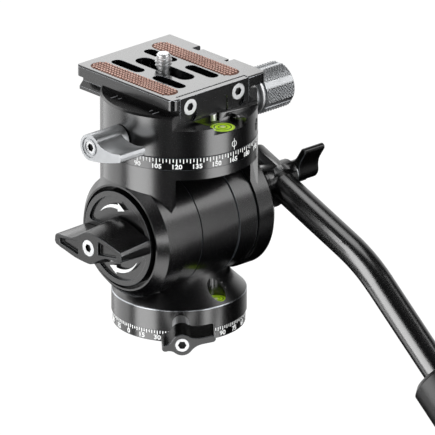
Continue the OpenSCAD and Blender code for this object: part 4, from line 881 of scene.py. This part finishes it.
def lower_knurl(work):
    """Leaves room for the knurl under the knob's real diameter."""
    origin, along = KNOB_AXIS
    for vertex in work.verts:
        height, off = along_and_off(vertex.co, origin, along)
        if off > (KNOB_R - RIM_REACH) * MM:
            foot = origin + along * height
            vertex.co = foot + (vertex.co - foot) * ((KNOB_R - KNURL_H) / KNOB_R)


def dark_socket(piece, place_mm, facing):
    """Paints the walls and floor of a socket near black: painted shade in the recess."""
    origin, facing = Vector(place_mm) * MM, Vector(facing)
    mesh = piece.data
    mesh.materials.append(MATERIALS["socket_dark"])
    slot = len(mesh.materials) - 1
    top = max(along_and_off(vertex.co, origin, facing)[0] for vertex in mesh.vertices)
    for face in mesh.polygons:
        height, off = along_and_off(face.center, origin, facing)
        if SHADE_DEPTH[0] * MM < top - height < SHADE_DEPTH[1] * MM and off < SHADE_REACH * MM:
            face.material_index = slot


MATERIALS = make_materials()
white_world()
white_floor()
light_up()

RESHAPED = {"camera_screw": thin_core, "pad_left": lower_pad, "pad_right": lower_pad, "knob": lower_knurl}
for name, (spot, facing) in SOCKETS.items():
    RESHAPED[name] = wider_socket(spot, facing)

pieces = {}
for name, (finish, edge) in SHOWN.items():
    pieces[name] = finished(name, MATERIALS[finish], edge, MATERIALS[EDGES.get(finish, finish)],
                            TURNED.get(name, ()), RESHAPED.get(name))
for name, (spot, facing) in SOCKETS.items():
    dark_socket(pieces[name], spot, facing)
for name, finish in INSIDE.items():
    mesh = named(name).data
    mesh.materials.clear()
    mesh.materials.append(MATERIALS[finish])


# Printed scales

# Heights in mm: the top of the ticks, the middle of the numbers, and the numbers' own height.
UPPER_TICKS_TOP = SCALE_TOP - 0.2
UPPER_NUMBERS_Z = 70.7
UPPER_NUMBERS_H = 1.75
BASE_TICKS_TOP = 4.15
BASE_NUMBERS_Z = 1.4
BASE_NUMBERS_H = 1.8
# Angles in degrees: between two numbers, and of each scale's zero and its first tick.
NUMBER_STEP = 15
UPPER_ZERO = -254.0
UPPER_FIRST = 1.0
BASE_ZERO = 178.5
BASE_FIRST = -1.5

WHITE_INK = MATERIALS["white_ink"]
tree = tick_tree(WHITE_INK)
# Pan scale under the clamp: 2.5 degree ticks, numbers every 15 degrees, rising to the right.
run_tree("upper_ticks", bpy.data.meshes.new("upper_ticks"), tree, body_of("pan_scale"), WHITE_INK,
         Radius=SCALE_R * MM, Top=UPPER_TICKS_TOP * MM, Turn=math.radians(UPPER_FIRST))
upper = [((UPPER_ZERO + label) % 360.0, str(label)) for label in range(0, 360, NUMBER_STEP)]
numbers_on_ring("upper_numbers", upper, SCALE_R, UPPER_NUMBERS_Z, UPPER_NUMBERS_H,
                body_of("pan_scale"), WHITE_INK)
# Base scale: the same ticks, shorter, numbered 0 to 90 and back in each half.
run_tree("base_ticks", bpy.data.meshes.new("base_ticks"), tree, body_of("base_ring"), WHITE_INK,
         Radius=BASE_RING_R * MM, Top=BASE_TICKS_TOP * MM, Turn=math.radians(BASE_FIRST),
         Long=1.7 * MM, Medium=1.4 * MM, Short=1.1 * MM)
lower = []
for label in range(0, 360, NUMBER_STEP):
    shown = label % 180
    lower.append((BASE_ZERO + label, str(shown if shown <= 90 else 180 - shown)))
numbers_on_ring("base_numbers", lower, BASE_RING_R, BASE_NUMBERS_Z, BASE_NUMBERS_H,
                body_of("base_ring"), WHITE_INK)


# Marks on the drum and the dial

# Steps round the index ring, and along a side of an arrow.
RING_STEPS = 40
ARROW_STEPS = 24
INDEX_IN = 0.03
# Ledge marks, in mm: their width, and for each its left end, its y and its length.
LEDGE_MARK_W = 0.32
LEDGE_MARKS = ((-24.1, -11.9, 3.4), (-22.9, -9.1, 1.6), (-22.9, 7.8, 1.6), (-24.1, 10.5, 3.4))
# Arrows on the dial, in mm: radius of their middle, width at the neck, half width of the head.
ARROW_R = 12.4
ARROW_W = 1.7
ARROW_FLARE = 1.7
# The tail has this share of that width.
ARROW_TAIL = 0.12


def drum_point(angle, level, height):
    """A point over the drum's wall, from its angle in degrees, its level and its height in mm."""
    return *polar((DRUM_R + height) * MM, math.radians(angle)), level * MM


def index_mark(angle, level, radius, width, low, high):
    """The drum's index: a small ring with a line through it, printed on the wall."""
    work = bmesh.new()
    degree = 180.0 / (math.pi * DRUM_R)

    def strip(points_in, points_out):
        rows = []
        for one, two in zip(points_in, points_out):
            section = ((one, -INDEX_IN), (one, INK_OUT), (two, INK_OUT), (two, -INDEX_IN))
            rows.append([work.verts.new(drum_point(angle + spot[0] * degree, level + spot[1], height))
                         for spot, height in section])
        return rows

    spots = [2 * math.pi * i / RING_STEPS for i in range(RING_STEPS)]
    ring = strip([polar(radius - width, spot) for spot in spots], [polar(radius, spot) for spot in spots])
    close_rings(work, ring, looped=True)
    bar = strip([(-width / 2, low), (-width / 2, high)], [(width / 2, low), (width / 2, high)])
    close_rings(work, bar, looped=False)
    work.faces.new(bar[0])
    work.faces.new(list(reversed(bar[1])))
    place("drum_index", work, WHITE_INK, body_of("pan_drum"))


def plate_marks():
    """Four laser marks on the drum's left ledge, by which the plate is centred."""
    half = LEDGE_MARK_W / 2
    parts = []
    for x, y, length in LEDGE_MARKS:
        outline = [(x, y - half), (x + length, y - half), (x + length, y + half), (x, y + half)]
        parts.append(slab(outline, DRUM_TOP - INK_IN, DRUM_TOP + INK_OUT, lambda u, v, h: (u, v, h)))
    place("plate_marks", join_meshes(parts), MATERIALS["grey_mark"], body_of("pan_drum"))


def dial_arrow(name, start, neck, tip):
    """A curved arrow on the dial face: it widens from its tail (degrees) to its head."""
    outer, inner = [], []
    for i in range(ARROW_STEPS + 1):
        share = i / ARROW_STEPS
        angle = math.radians(start + (neck - start) * share)
        half = ARROW_W / 2 * (ARROW_TAIL + (1.0 - ARROW_TAIL) * share)
        outer.append(polar(ARROW_R + half, angle))
        inner.append(polar(ARROW_R - half, angle))
    end = math.radians(neck)
    point = polar(ARROW_R, math.radians(tip))
    head = [polar(ARROW_R + ARROW_FLARE, end), point, polar(ARROW_R - ARROW_FLARE, end)]
    outline = outer + head + list(reversed(inner))
    mesh = slab(outline, DIAL_FACE - INK_IN, DIAL_FACE + INK_OUT, lambda u, v, h: (-h, u, TILT_Z + v))
    bmesh.ops.triangulate(mesh, faces=[face for face in mesh.faces if len(face.verts) > 4])
    place(name, mesh, WHITE_INK, body_of("tilt_dial"))


index_mark(angle=-88.0, level=76.8, radius=1.2, width=0.24, low=-2.3, high=2.1)
plate_marks()
dial_arrow("dial_arrow_upper", start=43.0, neck=91.0, tip=108.0)
dial_arrow("dial_arrow_lower", start=213.0, neck=273.0, tip=290.0)


# Bright edge, thread, knurl and studs

# Studs reach this far into what they stand on, in mm.
STUD_SINK = 0.04
# The pads' studs keep this far, in mm, from the pad's outline.
PAD_STUD_INSET = 0.5
PAD_STUD_FOOT = 0.6
PAD_STUD_TIP = 0.44
# Where the knurl starts and ends, in mm from the knob's outer end, and its gap to a flute.
KNURL_SPAN = (13.6, 1.5)
KNURL_GAP = 0.45
KNURL_TIP = 0.1

# Camera thread, in mm: depth, pitch, gaps under and over it, how deep its foot is set in the core.
THREAD_DEPTH = 0.62
THREAD_PITCH = 1.27
THREAD_GAPS = (0.3, 0.1)
THREAD_FOOT_IN = 0.08
# Half widths of the ridge at its foot and its crest, as shares of the pitch.
FOOT_HALF = 0.3
CREST_HALF = 0.07
THREAD_STEPS = 36


def cut_ring():
    """The bright line where the base's wall meets its cone: a narrow cut after dyeing."""
    outline = [(24.86, 12.2), (25.03, 12.24), (25.03, 12.42), (24.82, 12.66), (24.6, 12.62)]
    piece = place("base_cut_edge", lathe(outline, 128), MATERIALS["cut_edge"], body_of("pan_housing"))
    smooth(piece)


def helical_thread(name, low, high, material, body):
    """A V-shaped thread ridge wound on the screw; the ends taper into the core."""
    work = bmesh.new()
    foot = CAMERA_SCREW_R - THREAD_DEPTH - THREAD_FOOT_IN
    count = int((high - low - THREAD_PITCH) / THREAD_PITCH * THREAD_STEPS)
    taper = THREAD_STEPS / 2
    rings = []
    for i in range(count + 1):
        angle = 2 * math.pi * i / THREAD_STEPS
        lift = low + THREAD_PITCH / 2 + THREAD_PITCH * i / THREAD_STEPS
        fade = min(1.0, i / taper, (count - i) / taper)
        peak = CAMERA_SCREW_R - THREAD_DEPTH * (1 - fade)
        section = ((foot, -FOOT_HALF), (peak, -CREST_HALF), (peak, CREST_HALF), (foot, FOOT_HALF))
        ring = []
        for reach, share in section:
            x, y = polar(reach, angle)
            level = lift + share * THREAD_PITCH
            ring.append(work.verts.new((x * MM, (CAMERA_SCREW_Y + y) * MM, level * MM)))
        rings.append(ring)
    close_rings(work, rings, looped=False)
    work.faces.new(rings[0])
    work.faces.new(list(reversed(rings[-1])))
    smooth(place(name, work, material, body), 40.0)


def stud_tree(material):
    """Geometry Nodes: a four-sided stud on every point, turned to the point's own facing."""
    tree, ins, outs = node_group("small_studs", {"Foot": 0.0, "Tip": 0.0, "Height": 0.0})
    facing = add(tree, "GeometryNodeInputNamedAttribute", data_type="FLOAT_VECTOR", s_Name="facing")
    turned = add(tree, "FunctionNodeAlignRotationToVector", axis="Z", links=[(facing.outputs[0], "Vector")])
    stud = add(tree, "GeometryNodeMeshCone", fill_type="NGON", s_Vertices=4,
               links=[(ins["Tip"], "Radius Top"), (ins["Foot"], "Radius Bottom"), (ins["Height"], "Depth")])
    spread_copies(tree, outs, material, ins["Geometry"], stud, turned)
    return tree


def studs(name, spots, foot, tip, height, material, body):
    """Runs the stud tree on a list of (point in mm, facing) and keeps a plain mesh."""
    mesh = bpy.data.meshes.new(name + "_points")
    mesh.from_pydata([Vector(point) * MM for point, facing in spots], [], [])
    ways = mesh.attributes.new("facing", "FLOAT_VECTOR", "POINT")
    for item, (point, facing) in zip(ways.data, spots):
        item.vector = facing
    run_tree(name, mesh, stud_tree(material), body, material,
             Foot=foot * MM, Tip=tip * MM, Height=height * MM)


def pad_studs(name, middle_x):
    """Studs in a square grid inside the pad's rounded outline."""
    spots = []
    half_straight = PAD_LEN / 2 - PAD_W / 2
    rows = int(PAD_LEN / PAD_STUD_PITCH)
    across = int(PAD_W / 2 / PAD_STUD_PITCH) + 1
    for row in range(-rows // 2, rows // 2 + 1):
        y = row * PAD_STUD_PITCH
        past = max(0.0, abs(y) - half_straight)
        for step in range(-across, across + 1):
            x = step * PAD_STUD_PITCH
            if math.hypot(x, past) < PAD_W / 2 - PAD_STUD_INSET:
                level = PAD_TOP - PAD_STUD_H / 2 - STUD_SINK / 2
                spots.append(((middle_x + x, SLOT_Y + y, level), (0.0, 0.0, 1.0)))
    # The studs' pale pink is a painted highlight.
    studs(name, spots, PAD_STUD_FOOT, PAD_STUD_TIP, PAD_STUD_H + STUD_SINK,
          MATERIALS["stud_rubber_painted_highlight"], body_of("pad_left"))


def knob_knurl():
    """Diamond knurl in the fields between the knob's flutes."""
    outer_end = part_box("knob")[1][0] / MM
    start, end = outer_end - KNURL_SPAN[0], outer_end - KNURL_SPAN[1]
    around = int(2 * math.pi * KNOB_R / KNURL_PITCH / KNOB_FLUTES) * KNOB_FLUTES
    rows = int((end - start) / (KNURL_PITCH / 2))
    field = 360.0 / KNOB_FLUTES
    reach = KNOB_R - KNURL_H / 2 - STUD_SINK / 2
    spots = []
    for row in range(rows + 1):
        x = start + row * (end - start) / rows
        for step in range(around):
            angle = 360.0 * (step + 0.5 * (row % 2)) / around
            from_flute = abs((angle + field / 2) % field - field / 2)
            if from_flute * math.pi / 180.0 * KNOB_R < KNOB_FLUTE_W / 2 + KNURL_GAP:
                continue
            out = (0.0, -math.sin(math.radians(angle)), math.cos(math.radians(angle)))
            spots.append(((x, CLAMP_SCREW[0] + reach * out[1], CLAMP_SCREW[1] + reach * out[2]), out))
    studs("knob_knurl", spots, KNURL_PITCH / 2, KNURL_TIP, KNURL_H + STUD_SINK,
          MATERIALS["silver_blasted"], body_of("knob"))


cut_ring()
helical_thread("camera_thread_ridge", PLATE_TOP + THREAD_GAPS[0],
               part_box("camera_screw")[1][2] / MM - THREAD_GAPS[1],
               MATERIALS["steel_turned"], body_of("camera_screw"))
pad_studs("pad_studs_left", -PAD_X)
pad_studs("pad_studs_right", PAD_X)
knob_knurl()


# The two levels

LATHE_STEPS = 48
DOME_STEPS = 8
# The rim's dark line, in mm from the level's edge.
LEVEL_LINE = (1.0, 0.6)
# Shares of the level's radius: the printed circle's inner edge, and the bubble.
CIRCLE_SHARE = 0.36
BUBBLE_SHARE = 0.27
CIRCLE_W = 0.28
BUBBLE_H = 0.18
BUBBLE_IN = 0.01


def flat_ring(name, centre, inner, outer, top, body):
    """A flat ring printed round an upright axis."""
    low, high = top - INK_IN, top + INK_OUT
    outline = [(inner, low), (outer, low), (outer, high), (inner, high)]
    smooth(place(name, lathe(outline, LATHE_STEPS, centre), MATERIALS["vial_mark"], body))


def dome(name, centre, radius, height, base, material, body):
    """A low round cap on a flat foot: the bubble of a level."""
    outline = [(0.0, base)]
    for i in range(DOME_STEPS + 1):
        angle = math.pi / 2 * i / DOME_STEPS
        outline.append((radius * math.cos(angle), base + height * math.sin(angle)))
    smooth(place(name, lathe(outline, LATHE_STEPS, centre), material, body), 50.0)


def level_details(node, bubble_x, bubble_y):
    """Printed circles and the bubble on top of a level."""
    low, high = [[c / MM for c in corner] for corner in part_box(node)]
    middle = ((low[0] + high[0]) / 2, (low[1] + high[1]) / 2)
    radius, top, body = (high[0] - low[0]) / 2, high[2], body_of(node)
    circle = radius * CIRCLE_SHARE
    flat_ring(node + "_rim", middle, radius - LEVEL_LINE[0], radius - LEVEL_LINE[1], top, body)
    flat_ring(node + "_circle", middle, circle, circle + CIRCLE_W, top, body)
    dome(node + "_bubble", (middle[0] + bubble_x, middle[1] + bubble_y), radius * BUBBLE_SHARE,
         BUBBLE_H, top - BUBBLE_IN, MATERIALS["bubble"], body)


level_details("top_vial", 0.3, 0.3)
level_details("base_vial", -0.3, 0.2)
